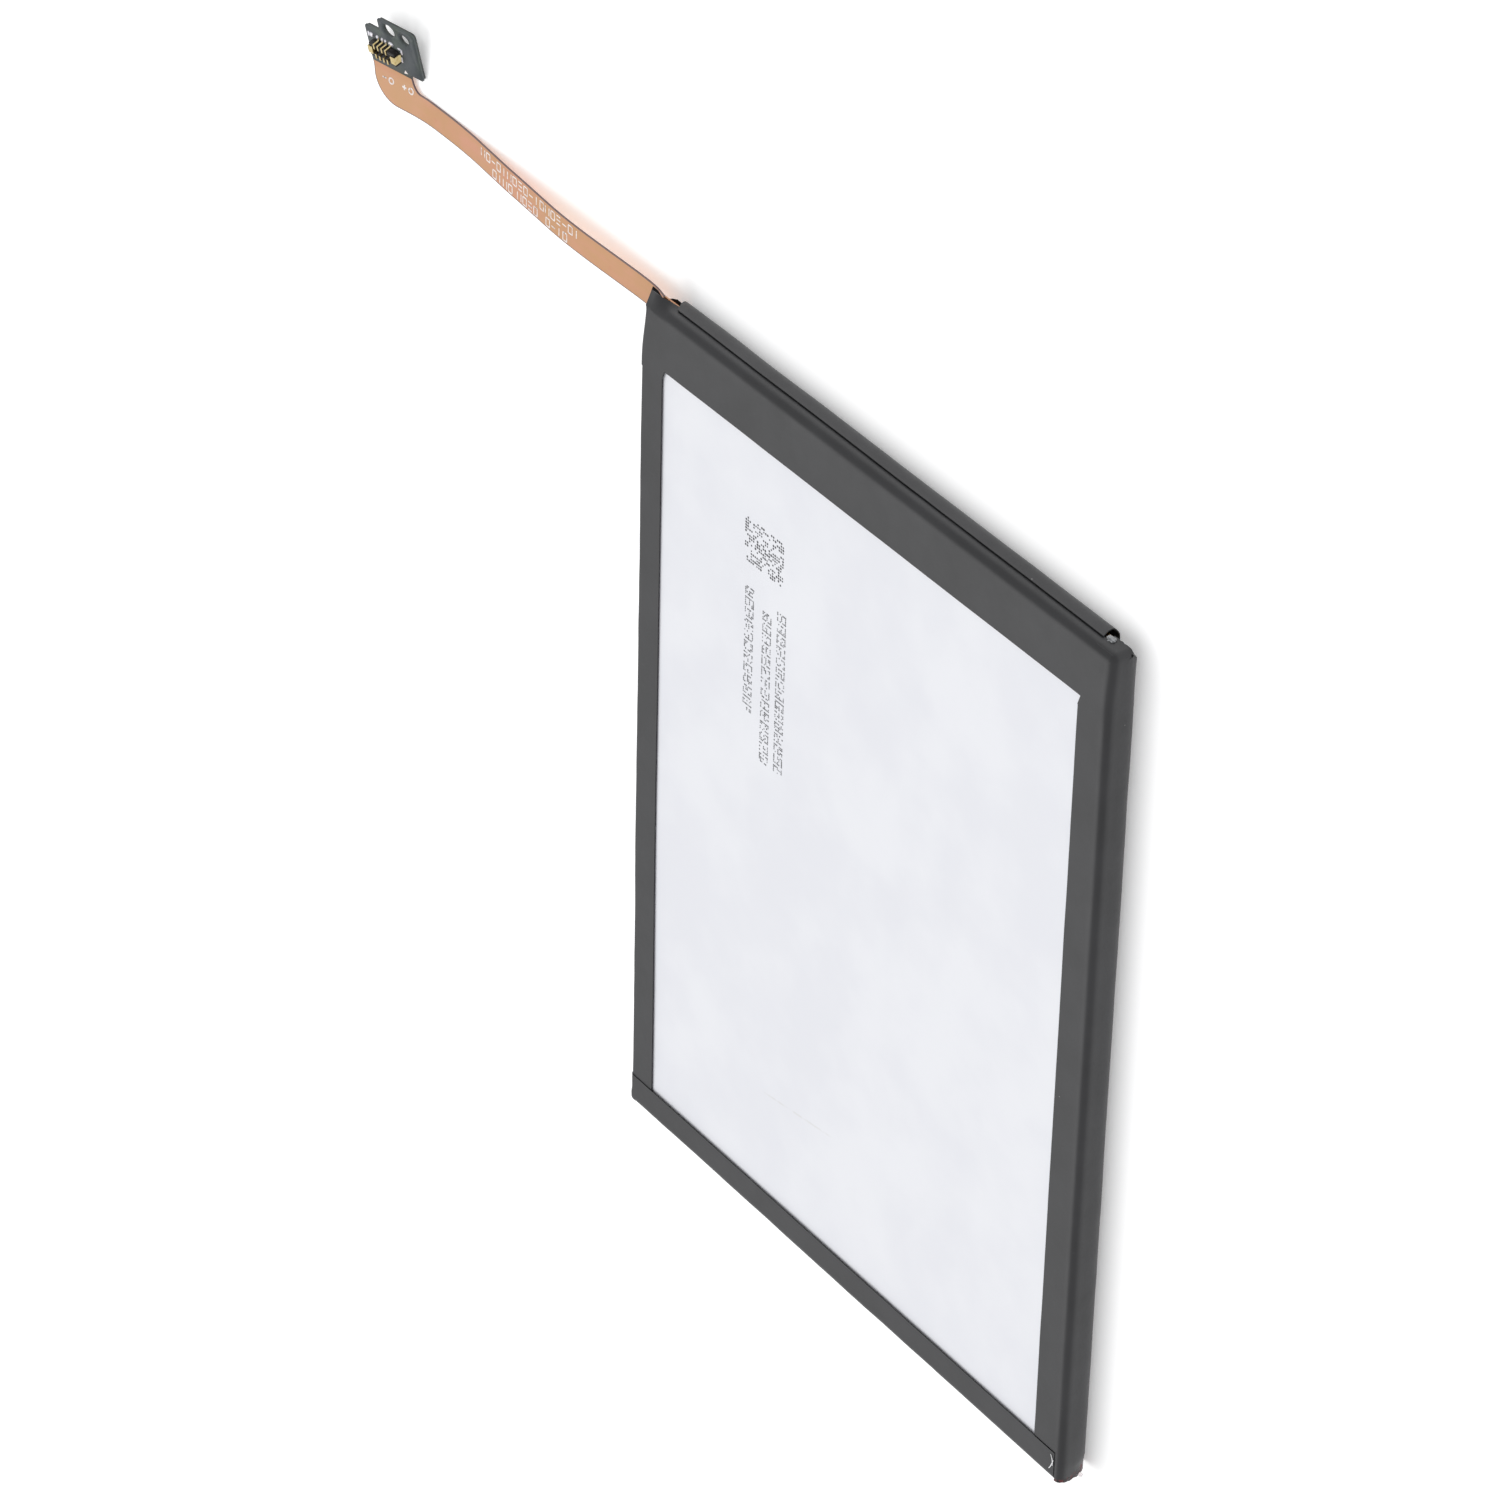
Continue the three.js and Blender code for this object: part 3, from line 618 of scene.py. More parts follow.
def solder_feet(form):
    for x0, x1 in FAR_FEET:
        fillet(form, x0, x1, 2.98, 3.5, 0.11)
    for x0, x1 in NEAR_FEET:
        fillet(form, x0, x1, 0.98, 1.36, 0.1)
    for x0, x1, y0, y1, height in END_FEET:
        fillet(form, x0, x1, y0, y1, height)


def corner_mark(form):
    points = [(4.16, 0.32), (4.68, 0.42), (4.4, 0.76)]
    top = [form.verts.new(at_head(x, y, 0.012)) for x, y in points]
    low = [form.verts.new(at_head(x, y, 0.001)) for x, y in points]
    form.faces.new(top)
    form.faces.new(low[::-1])
    for i in range(3):
        j = (i + 1) % 3
        form.faces.new([top[j], top[i], low[i], low[j]])


feet = fitted(in_place("solder_fillets", solder_feet), solder(), "flex_head")
fitted(in_place("corner_mark", corner_mark), white_ink, "flex_head")


# ---- pouch: drawn cup, flat cover and folded seals ------------------------------------------------
# Aluminium foil laminated between nylon and polypropylene: matte, silvery and faintly blue. The cup is
# cold drawn round the roll, closed by a flat sheet, and its sealed sides are folded up against it.
SCRATCH = Vector((-12.7, -29.5)), Vector((-1.35, -27.75))


def laminate(name, light, dark, roughness, metallic, scratched=False):
    foil = Finish(name, roughness=roughness, metallic=metallic)
    cloud = foil.noise(9 * MM, 3).ramp(0.35, 0.7)
    tone = foil.mix(cloud, dark, light)
    tone = foil.mix(foil.noise(0.5 * MM, 3).ramp(0.55, 0.85) * 0.3, tone, dark)
    grain = foil.noise(0.9 * MM, 2, stretch=(1, 6, 1)) + foil.noise(0.12 * MM, 2)
    if scratched:
        a, b = SCRATCH
        run, side = (b - a).normalized(), Vector((-(b - a).y, (b - a).x)).normalized()
        off = abs(foil.x * side.x + foil.y * side.y - a.dot(side) * MM)
        along = foil.x * run.x + foil.y * run.y - (a.dot(run) + (b - a).length / 2) * MM
        reach = abs(along).ramp((b - a).length / 2 * MM, (b - a).length / 3 * MM)
        scratch = off.ramp(0.16 * MM, 0.03 * MM) * reach * foil.noise(1.1 * MM, 2).ramp(0.35, 0.6)
        tone = foil.mix(scratch * 0.35, tone, shade(205, 203, 198))
    foil.feed(Base_Color=tone, Roughness=roughness - 0.05 + foil.noise(0.4 * MM, 3) * 0.1)
    foil.bump(foil.noise(7 * MM, 2) * 4 + grain * 0.4, 0.012 * MM, 0.5)
    return foil.material


face_foil = laminate("pouch_laminate", shade(233, 234, 238), shade(228, 229, 234), 0.5, 0.3, True)
edge_foil = laminate("seal_laminate", shade(214, 216, 220), shade(188, 190, 196), 0.45, 0.4)
dress(face_foil, "pouch_cup", "pouch_cover")
dress(edge_foil, "side_seal_left", "side_seal_right")


# ---- ink on the pouch -----------------------------------------------------------------------------
# Grey dots sprayed on the window by a marking head: a square patch and three rows that run down the
# pack. Here the dots fall at random, so they form no characters and no readable code.
FACE = 3.68 * MM


def dot_tree():
    """Dots on a grid: cells of five columns and a gap, thicker round each cell's rim."""
    tree = bpy.data.node_groups.new("sprayed_dots", "GeometryNodeTree")
    face = tree.interface
    face.new_socket("Geometry", in_out="OUTPUT", socket_type="NodeSocketGeometry")
    for name, kind in (("Columns", "Int"), ("Rows", "Int"), ("Pitch", "Float"), ("Dot Radius", "Float"),
                       ("Rim Share", "Float"), ("Inner Share", "Float"), ("Cell", "Int"), ("Seed", "Int"),
                       ("Ink", "Material")):
        face.new_socket(name, in_out="INPUT", socket_type=f"NodeSocket{kind}")
    nodes, links = tree.nodes, tree.links
    given, result = nodes.new("NodeGroupInput"), nodes.new("NodeGroupOutput")

    def add(kind, settings=None, **sockets):
        made = nodes.new(kind)
        for key, value in (settings or {}).items():
            setattr(made, key, value)
        for key, value in sockets.items():
            socket = made.inputs[int(key[1:])] if key[0] == "i" and key[1:].isdigit() else made.inputs[key]
            if hasattr(value, "is_output"):
                links.new(value, socket)
            else:
                socket.default_value = value
        return made

    def calc(operation, a, b):
        return add("ShaderNodeMath", {"operation": operation}, i0=a, i1=b).outputs[0]

    size = [given.outputs[k] for k in ("Columns", "Rows")]
    wide = calc("MULTIPLY", calc("SUBTRACT", size[0], 1), given.outputs["Pitch"])
    tall = calc("MULTIPLY", calc("SUBTRACT", size[1], 1), given.outputs["Pitch"])
    grid = add("GeometryNodeMeshGrid", i0=wide, i1=tall, i2=size[0], i3=size[1]).outputs[0]
    spot = add("ShaderNodeSeparateXYZ", i0=add("GeometryNodeInputPosition").outputs[0])
    across = calc("ADD", spot.outputs[0], calc("MULTIPLY", wide, 0.5))
    up = calc("ADD", spot.outputs[1], calc("MULTIPLY", tall, 0.5))
    column = calc("ROUND", calc("DIVIDE", across, given.outputs["Pitch"]), 0)
    row = calc("ROUND", calc("DIVIDE", up, given.outputs["Pitch"]), 0)
    within = calc("FLOORED_MODULO", column, given.outputs["Cell"])
    gap = calc("SUBTRACT", given.outputs["Cell"], 1)
    middle = calc("MULTIPLY", calc("SUBTRACT", given.outputs["Rows"], 1), 0.5)
    level = calc("ABSOLUTE", calc("SUBTRACT", row, middle), 0)
    rim = calc("COMPARE", within, 0)
    for part in (calc("COMPARE", within, calc("SUBTRACT", gap, 1)), calc("COMPARE", level, middle),
                 calc("COMPARE", level, 0)):
        rim = calc("MAXIMUM", rim, part)
    share = add("ShaderNodeMix", i0=rim, i2=given.outputs["Inner Share"], i3=given.outputs["Rim Share"])
    draw = add("FunctionNodeRandomValue", {"data_type": "FLOAT"}, Seed=given.outputs["Seed"]).outputs[1]
    left_out = calc("MAXIMUM", calc("GREATER_THAN", draw, share.outputs[0]), calc("COMPARE", within, gap))
    points = add("GeometryNodeDeleteGeometry", {"domain": "POINT"}, i0=grid, i1=left_out).outputs[0]
    radius = given.outputs["Dot Radius"]
    dot = add("GeometryNodeMeshCircle", {"fill_type": "NGON"}, i0=7, i1=radius).outputs[0]
    jitter = add("FunctionNodeRandomValue", {"data_type": "FLOAT"}, i2=0.75, i3=1.2, Seed=11).outputs[1]
    laid = add("GeometryNodeInstanceOnPoints", Points=points, Instance=dot, Scale=jitter).outputs[0]
    real = add("GeometryNodeRealizeInstances", i0=laid).outputs[0]
    done = add("GeometryNodeSetMaterial", Geometry=real, Material=given.outputs["Ink"]).outputs[0]
    links.new(done, result.inputs[0])
    return tree


def grown(name, tree, **values):
    """The plain mesh that a node tree makes from these inputs."""
    carrier = bpy.data.objects.new(name, bpy.data.meshes.new(name))
    bpy.context.scene.collection.objects.link(carrier)
    modifier = carrier.modifiers.new("grow", "NODES")
    modifier.node_group = tree
    sockets = {s.name: s.identifier for s in tree.interface.items_tree if s.in_out == "INPUT"}
    for key, value in values.items():
        modifier[sockets[key.replace("_", " ")]] = value
    bpy.context.view_layer.update()
    made = bpy.data.meshes.new_from_object(carrier.evaluated_get(bpy.context.evaluated_depsgraph_get()))
    carrier.modifiers.clear()
    carrier.data = made
    made.name = name
    return carrier


grey_ink = Finish("grey_ink", roughness=0.7)
grey_ink.feed(Base_Color=grey_ink.mix(grey_ink.noise(0.3 * MM), shade(74, 74, 77), shade(104, 104, 107)))
dots = dot_tree()
for name, middle, columns, rows, pitch, dot, rim, inner, cell, seed in (
    ("code_patch", (-14.25, 27.7), 20, 16, 0.285, 0.11, 0.6, 0.5, 99, 3),
    ("dot_row_1", (-11.5, 14.4), 88, 7, 0.19, 0.08, 0.7, 0.14, 6, 5),
    ("dot_row_2", (-13.6, 13.7), 84, 7, 0.19, 0.08, 0.7, 0.14, 6, 8),
    ("dot_row_3", (-16.2, 16.5), 68, 7, 0.19, 0.08, 0.7, 0.14, 6, 13),
):
    patch = grown(name, dots, Columns=columns, Rows=rows, Pitch=pitch * MM, Dot_Radius=dot * MM,
                  Rim_Share=rim, Inner_Share=inner, Cell=cell, Seed=seed, Ink=grey_ink.material)
    turn = Matrix.Rotation(-math.pi / 2, 4, "Z") if cell == 6 else Matrix.Identity(4)
    patch.data.transform(Matrix.Translation((middle[0] * MM, middle[1] * MM, FACE + INK)) @ turn)
    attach(patch, "pack")


# ---- the wound roll -------------------------------------------------------------------------------
# Coated foils and two separators, wound flat together and held by a strip of amber tape. The foils are
# rolled metal with a matte black coat; the separator is stretched white film. All are inside the pouch.
def coated(name, light, dark, roughness=0.7, metallic=0.0, grain=0.4 * MM, stretch=(1, 1, 1)):
    """Two close tones in a grain of the given size, with the same grain in its gloss and relief."""
    coat = Finish(name, roughness, metallic)
    texture = coat.noise(grain, 3, stretch=stretch)
    coat.feed(Base_Color=coat.mix(texture.ramp(0.3, 0.7), dark, light))
    coat.feed(Roughness=roughness - 0.08 + texture * 0.16)
    return coat.bump(texture, grain * 0.03, 0.6).material


dress(coated("cathode_coat", shade(52, 52, 55), shade(34, 34, 37), 0.75), "cathode_foil")
dress(coated("anode_coat", shade(70, 64, 60), shade(50, 46, 44), 0.72), "anode_foil")
dress(coated("separator_film", shade(240, 240, 238), shade(226, 226, 222), 0.5, stretch=(1, 6, 1)),
      "separator_inner", "separator_outer")


# ---- amber tapes ----------------------------------------------------------------------------------
# Thin polyimide tape, yellow-brown and a little glossy: one strip holds the roll's end, one lies under the
# board, and the edge of a third just shows along the window's top.
amber = coated("amber_tape", shade(206, 158, 74), shade(176, 122, 44), 0.32, grain=1.5 * MM)
dress(amber, "roll_end_tape", "terrace_insulator")
pale_edge = coated("amber_edge", shade(232, 206, 158), shade(214, 182, 128), 0.4, grain=0.8 * MM)
dress(pale_edge, "amber_tape_edge")


# ---- terminals ------------------------------------------------------------------------------------
# A rolled aluminium tab and a nickel one leave the pouch through milky sealing film, fold back and are
# spot welded to nickel plates on the board.
dress(coated("rolled_aluminium", shade(222, 223, 225), shade(196, 198, 201), 0.34, 1.0, stretch=(1, 8, 1)),
      "cathode_tab")
rolled_nickel = coated("rolled_nickel", shade(206, 202, 192), shade(178, 173, 162), 0.36, 1.0,
                       stretch=(1, 8, 1))
dress(rolled_nickel, "anode_tab", "cathode_weld_plate", "anode_weld_plate")
dress(coated("sealing_film", shade(232, 228, 212), shade(216, 210, 190), 0.45), "cathode_tab_film",
      "anode_tab_film")


# ---- protection board -----------------------------------------------------------------------------
# Glass laminate under dark green solder mask, with moulded chips, a fuse and fired ceramic parts soldered
# along it.
def solder_mask():
    green = Finish("board_mask", roughness=0.35)
    tracks = green.noise(0.5 * MM, 1, stretch=(6, 1, 1)).ramp(0.5, 0.54)
    green.feed(Base_Color=green.mix(tracks, shade(22, 62, 44), shade(36, 88, 60)))
    green.feed(Roughness=0.3 + green.noise(0.4 * MM) * 0.14)
    return green.bump(tracks, 0.01 * MM, 0.6).material


dress(solder_mask(), "protection_board")
dress(coated("chip_moulding", shade(44, 43, 42), shade(28, 28, 28), 0.6, grain=0.1 * MM),
      "protection_chip", "switch_transistor", "id_resistor", "thermal_fuse")
dress(coated("fired_ceramic", shade(186, 160, 128), shade(158, 130, 98), 0.55, grain=0.12 * MM),
      "sense_resistor", "thermistor", "filter_capacitor_1", "filter_capacitor_2")


# ---- board cover and foam -------------------------------------------------------------------------
# A folded channel of grey insulating paper goes over the board, and a strip of black foam fills the gap
# under the top tape. Both are die cut.
dress(coated("cover_paper", shade(98, 104, 100), shade(78, 84, 80), 0.85, grain=0.15 * MM), "board_cover")
dress(coated("black_foam", shade(40, 40, 40), shade(18, 18, 18), 0.95, grain=0.12 * MM), "foam_strip")


# ---- wrapping tapes -------------------------------------------------------------------------------
# Black polyester tape, 0.1 mm with its adhesive, wrapped round the pack's rim. The side tapes go on
# first, the bottom and top tapes lap over them, and a last strip closes the terminal end.
HALF = 32.5
END = 43.5
THICK = 3.8
TAPE = 0.1
STANDS_OUT = 0.06                       # the tapes' mean height over the pack's nominal faces
LAP = 0.07                              # how far a lapping tape stands over the one below it
FRONT_R, FRONT_LEFT_R, BACK_R, END_R, FOOT_R = 0.8, 0.35, 2.2, 1.7, 0.6
PLAN_R = 0.6                            # the pack's corner radius, seen from the front
WINDOW_LEFT, WINDOW_RIGHT, WINDOW_TOP, WINDOW_BOTTOM = -29.3, 28.8, 38.05, -40.34
SKEW, DROP = 0.36, 1.05                 # the top tape's window edge is offset and its side ends drop
LEAST_R = 0.06                          # and the least that is left of it inside the front edge
BACK_WINDOW = 28.5
END_DROP = 0.3                          # the front is this much lower at the terminal end
STRIP_LEFT, STRIP_RIGHT, STRIP_TOP = -29.4, 29.7, 2.5
UNDERLAP = 1.0                          # the top tape ends at this height behind the strip
OVERRUN = 0.3                           # the side tapes run on this far under the tapes across the ends
BOTTOM_TAPE_END = 31.75                 # the bottom tape is cut off here, short of the right side
FLAP_ROOT, SLANT_START = -29.5, 29.6    # where the top tape's end leaves the strip, left and right


def tape_look():
    film = Finish("black_tape", roughness=0.42)
    tone = film.mix(film.noise(5 * MM, 3).ramp(0.3, 0.7), (0.0148, 0.0148, 0.0165), (0.021, 0.021, 0.0235))
    dust = film.specks(1.5 * MM, 0.05) * film.noise(9 * MM, 2).ramp(0.56, 0.68)
    rub = film.noise(0.5 * MM, 3, stretch=(5, 1, 1)).ramp(0.66, 0.8) * film.noise(14 * MM, 1).ramp(0.55, 0.7)
    tone = film.mix(rub * 0.12, tone, (0.2, 0.2, 0.21))
    film.feed(Base_Color=film.mix(dust, tone, shade(160, 160, 158)))
    film.feed(Roughness=0.34 + film.noise(2.2 * MM, 3) * 0.12 + dust * 0.3)
    height = film.noise(3 * MM, 2) * 3 + film.noise(0.6 * MM, 2) * 0.5 + film.noise(0.12 * MM, 2) * 0.12
    return film.bump(height, 0.014 * MM, 0.7).material


def ease(x, low, high):
    """0 at low, 1 at high, smooth between; low may be the larger."""
    t = min(max((x - low) / (high - low), 0), 1)
    return t * t * (3 - 2 * t)


def section(front, back, cut=None):
    """Rows down the pack's rim, front edge to back: inset, height, tilt of the surface, and if kept.

    A cut, as a height on the wall, ends the tape there; the rows below it are left out.
    """
    rows = []
    for k in range(7):
        a = math.pi / 2 * k / 6
        rows.append((front * (1 - math.sin(a)), THICK - front * (1 - math.cos(a)), math.pi / 2 - a, True))
    top, low = THICK - front, back if cut is None else cut
    rows += [(0, top + (low - top) * k / 6, 0, True) for k in range(1, 7)]
    for k in range(1, 9):
        a = math.pi / 2 * k / 8
        rows.append((back * (1 - math.cos(a)), back * (1 - math.sin(a)), -a, cut is None))
    return rows


def slope(p):
    """The front falls away a little over the terminal end, where the pouch is only a flap."""
    fall = END_DROP * ease(p.y, WINDOW_TOP, END) * ease(p.z, BACK_R * 0.6, THICK)
    return Vector((p.x, p.y, p.z - fall))


def left_bow(p):
    """The left rim and its window edge bulge out a little along the upper part of the pack."""
    reach = ease(p.x, -20, -29) * ease(p.y, -36, -8) * ease(p.y, END, 36)
    return Vector((p.x - 0.16 * reach, p.y, p.z))


def ways_round(end, seam, stop=None, sides=8, arc=8, flat=90):
    """Columns round one end, left to right: where(inset), the way outwards, and a place from -2 to 2.

    The place runs from -2 at the left seam to -1 at the corner, 1 at the right corner and 2 at the seam.
    """
    sign = 1 if end > 0 else -1

    def on_side(sx, f):
        return lambda d: (sx * (HALF - d), seam + f * (end - sign * PLAN_R - seam))

    def on_arc(sx, a):
        def where(d):
            r = max(PLAN_R - d, LEAST_R)
            return (sx * (HALF - d - r + r * math.cos(a)), end - sign * (d + r - r * math.sin(a)))
        return where

    def on_end(share):
        def where(d):
            inner = max(PLAN_R, d + LEAST_R)
            last = HALF - inner if stop is None else stop
            return (-HALF + inner + share * (last + HALF - inner), end - sign * d)
        return where

    steps = sides + arc
    left = [(on_side(-1, k / sides), Vector((-1, 0, 0)), -2 + k / steps) for k in range(sides)]
    for k in range(arc):
        a = math.pi / 2 * k / arc
        left.append((on_arc(-1, a), Vector((-math.cos(a), sign * math.sin(a), 0)), -2 + (sides + k) / steps))
    middle = [(on_end(k / flat), Vector((0, sign, 0)), 2 * k / flat - 1) for k in range(flat + 1)]
    if stop is not None:
        return left + middle
    right = []
    for k in reversed(range(arc)):
        a = math.pi / 2 * k / arc
        right.append((on_arc(1, a), Vector((math.cos(a), sign * math.sin(a), 0)), 2 - (sides + k) / steps))
    right += [(on_side(1, k / sides), Vector((1, 0, 0)), 2 - k / steps) for k in reversed(range(sides))]
    return left + middle + right


def along_line(line, share):
    """A point of a bent line at a share of its length."""
    spans = [(Vector(a), Vector(b)) for a, b in zip(line, line[1:])]
    rest = share * sum((b - a).length for a, b in spans)
    for a, b in spans:
        if rest <= (b - a).length + 1e-9:
            return a.lerp(b, rest / (b - a).length)
        rest -= (b - a).length
    return spans[-1][1]


def seam_point(lines, place):
    """Where the column at a place meets the tape's inner edge, given as a left, middle and right line."""
    if place < -1:
        return along_line(lines[0], place + 2)
    if place <= 1:
        return along_line(lines[1], (place + 1) / 2)
    return along_line(lines[2], place - 1)


def column(where, out, inner, rows, far):
    """One column of a tape's grid, as (point, outward, kept): front flap, edge, wall and back flap."""
    up = Vector((0, 0, 1))
    points = [Vector((*where(d), z)) for d, z, _, _ in rows]
    start, end = Vector((*inner, THICK)), Vector((*far, 0))
    line = [(start.lerp(points[0], k / 6), up, True) for k in range(6)]
    for point, (_, _, tilt, kept) in zip(points, rows):
        line.append((point, out * math.cos(tilt) + up * math.sin(tilt), kept))
    return line + [(points[-1].lerp(end, k / 4), -up, rows[-1][3]) for k in range(1, 5)]


def straight_seam(y, *stops):
    """A seam straight across at y, as a left, a middle and, if there is one, a right line."""
    return [[(a, y), (b, y)] for a, b in zip(stops, stops[1:])]


def cap(end, seam, front_seam, back, back_seam, cut=lambda x: None, stop=None):
    """The grid of a tape that wraps one end, between its seams on the front and on the back."""
    grid = []
    for where, out, place in ways_round(end, seam, stop):
        corner = min(max(2 - abs(place), 0), 1)
        on_side = FRONT_LEFT_R if place < 0 else FRONT_R
        front, low = on_side + (FRONT_R - on_side) * corner**2, BACK_R + (back - BACK_R) * corner**2
        rows = section(front, low, cut(where(0)[0]) if abs(place) < 1.5 else None)
        grid.append(column(where, out, seam_point(front_seam, place), rows, seam_point(back_seam, place)))
    return grid


def settle(p):
    """How far out the tape lies, in mm, with the hollows and swellings of what is under it."""
    broad = noise.noise(p / 7.0) * 0.035 + noise.noise(p / 2.3 + Vector((9, 4, 1))) * 0.014
    return STANDS_OUT + broad + noise.noise(p / 0.9) * 0.005


def tape(name, nodes, grid, lap=lambda p: 0.0, keep=lambda p: True, shape=lambda p: p):
    """A tape piece from a grid in millimetres, settled on the pack, in place of its CAD nodes."""
    def build(form):
        placed = []
        for line in grid:
            at = [left_bow(slope(shape(p + out * (settle(p) + lap(p))))) for p, out, _ in line]
            placed.append([Vector((p.x, p.y, max(p.z, 0.0))) * MM for p in at])
        kept = [[flag and keep(p) for p, _, flag in line] for line in grid]
        middle = len(grid) // 2
        facing = (placed[middle][1] - placed[middle][0]).cross(placed[middle + 1][0] - placed[middle][0])
        if facing.dot(grid[middle][0][1]) < 0:
            placed, kept = placed[::-1], kept[::-1]
        sheet_of(form, placed, TAPE * 0.9 * MM, kept)
    piece = fitted(in_place(name, build), black_tape, "pack")
    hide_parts(*nodes)


def side_grid(sign, inner, front, y0, y1, count=150):
    """A side tape's grid, from its window edge round the rim to its back edge."""
    grid = []
    for k in range(count + 1):
        y = y0 + (y1 - y0) * k / count
        grid.append(column(lambda d, y=y: (sign * (HALF - d), y), Vector((sign, 0, 0)), (inner, y),
                           section(front, BACK_R), (sign * BACK_WINDOW, y)))
    return grid


def right_foot(p):
    """The right tape's foot: it is cut aslant, a little short of the pack's end."""
    short = ease(p.y, -41.5, -END) * (0.35 + 0.75 * ease(p.z, 3.6, 0.8))
    return Vector((p.x - 0.08 * short, p.y + short, p.z))


def lifted_corner(p):
    """Near the right end the tape's back edge rises towards the open corner."""
    rise = 1.4 * ease(p.y, 41.3, 43.2) * ease(p.x, 29.2, 30.6)
    return top_flap(Vector((p.x, p.y, max(p.z, rise))))


def bottom_end(p):
    """The bottom tape's cut end follows the rounded side of the pack inwards near the back."""
    return Vector((p.x - 1.9 * ease(p.x, 28.5, BOTTOM_TAPE_END) * ease(p.z, 1.7, 0.2), p.y, p.z))


black_tape = tape_look()
side_top, side_low = WINDOW_TOP - DROP, WINDOW_BOTTOM
outer_left, outer_right = -HALF + FRONT_LEFT_R, HALF - FRONT_R
tape("side_tape_left", ["tape_left"],
     side_grid(-1, WINDOW_LEFT, FRONT_LEFT_R, side_low - OVERRUN, side_top + 0.04))
tape("side_tape_right", ["tape_right"], side_grid(1, WINDOW_RIGHT, FRONT_R, -END, side_top + 0.04),
     keep=lambda p: p.y > side_low - 0.4 or p.x > outer_right - 0.1 or p.z < 1, shape=right_foot)

bottom_front = straight_seam(side_low, outer_left, WINDOW_LEFT, BOTTOM_TAPE_END)
bottom_back = straight_seam(side_low, -HALF + BACK_R, -BACK_WINDOW, BOTTOM_TAPE_END - 0.6)
tape("bottom_tape", ["tape_bottom"],
     cap(-END - 0.04, side_low, bottom_front, FOOT_R, bottom_back, stop=BOTTOM_TAPE_END),
     lap=lambda p: LAP + 0.08 * ease(p.x, -31.9, -32.4) * ease(p.y, -41.9, -42.5), shape=bottom_end)


def top_flap(p):
    """At the left the tape isn't folded down: its corner stands out, over the flex."""
    loose = ease(p.x, -29.3, -31.9) * ease(p.y, 42.35, 42.7) * ease(p.z, 1.7, 2.3)
    turn = math.atan2(max(p.y - END + FRONT_R, 0), max(p.z - THICK + FRONT_R, 0.001))
    reach = FRONT_R * turn + max(THICK - FRONT_R - p.z, 0)
    dip = math.radians(26 + 42 * (1 - loose))
    out = Vector((p.x, END - FRONT_R + reach * math.cos(dip), THICK - reach * math.sin(dip)))
    return p.lerp(out, loose)


def top_cut(x):
    """Height on the end wall where the top tape ends: higher at the loose corner, aslant at the right."""
    if x < FLAP_ROOT:
        return 1.78 + 0.86 * ease(x, FLAP_ROOT, -31.4)
    if x > SLANT_START:
        return 2.42 - 0.24 * (x - SLANT_START)
    return None


top_front = [[(outer_left, side_top), (WINDOW_LEFT, side_top), (WINDOW_LEFT + SKEW, WINDOW_TOP)],
             [(WINDOW_LEFT + SKEW, WINDOW_TOP), (WINDOW_RIGHT + SKEW, WINDOW_TOP)],
             [(WINDOW_RIGHT + SKEW, WINDOW_TOP), (WINDOW_RIGHT, side_top), (outer_right, side_top)]]
top_back = straight_seam(side_top, -HALF + BACK_R, -BACK_WINDOW, BACK_WINDOW, HALF - BACK_R)
tape("top_tape", ["tape_top"],
     cap(END - TAPE - 0.02, side_top, top_front, END_R, top_back, top_cut),
     lap=lambda p: LAP * ease(p.y, END, 42.5) * ease(p.z, 0.6, 1.6),
     keep=lambda p: p.z > UNDERLAP or abs(p.x) > SLANT_START, shape=lifted_corner)


def strip_grid(count=130):
    """The closing strip's grid; its two ends are cut a little aslant."""
    rows = [(0, STRIP_TOP + (END_R - STRIP_TOP) * j / 4, 0, True) for j in range(5)]
    rows += section(FRONT_R, END_R)[13:]
    grid = []
    for k in range(count + 1):
        line = []
        for inset, z, tilt, _ in rows:
            fall = min(STRIP_TOP - z, 1.8)
            left, right = STRIP_LEFT - 0.7 * fall, STRIP_RIGHT - 0.4 * fall
            x = left + (right - left) * k / count
            line.append((Vector((x, END - inset, z)), Vector((0, math.cos(tilt), math.sin(tilt))), True))
        last = line[-1][0]
        for j in range(1, 5):
            line.append((last.lerp(Vector((last.x, WINDOW_TOP, 0)), j / 4), Vector((0, 0, -1)), True))
        grid.append(line)
    return grid


tape("end_closing_strip", ["end_strip"], strip_grid(), lap=lambda p: 0.03)


# ---- upper right corner: under-ply and seal -------------------------------------------------------
# The slanting top tape leaves the corner open. A second black ply looks out under it, and beside the
# closing strip shows the trimmed corner of the pouch's seal, crumpled to a small lump of laminate.
PLY_START, PLY_TURN = 29.9, 31.9        # the ply runs between these x on the end wall, then turns
PLY_INSET, PLY_ROUND = 0.2, 0.38
PLY_HIGH, PLY_LOW = 3.2, 1.34


def loose_sheet(name, grid, thickness, material):
    """A piece made from a grid of points in millimetres that rides on the pack with the tapes."""
    scaled = [[p * MM for p in row] for row in grid]
    piece = in_place(name, lambda form: sheet_of(form, scaled, thickness * MM))
    fitted(piece, material, "pack")


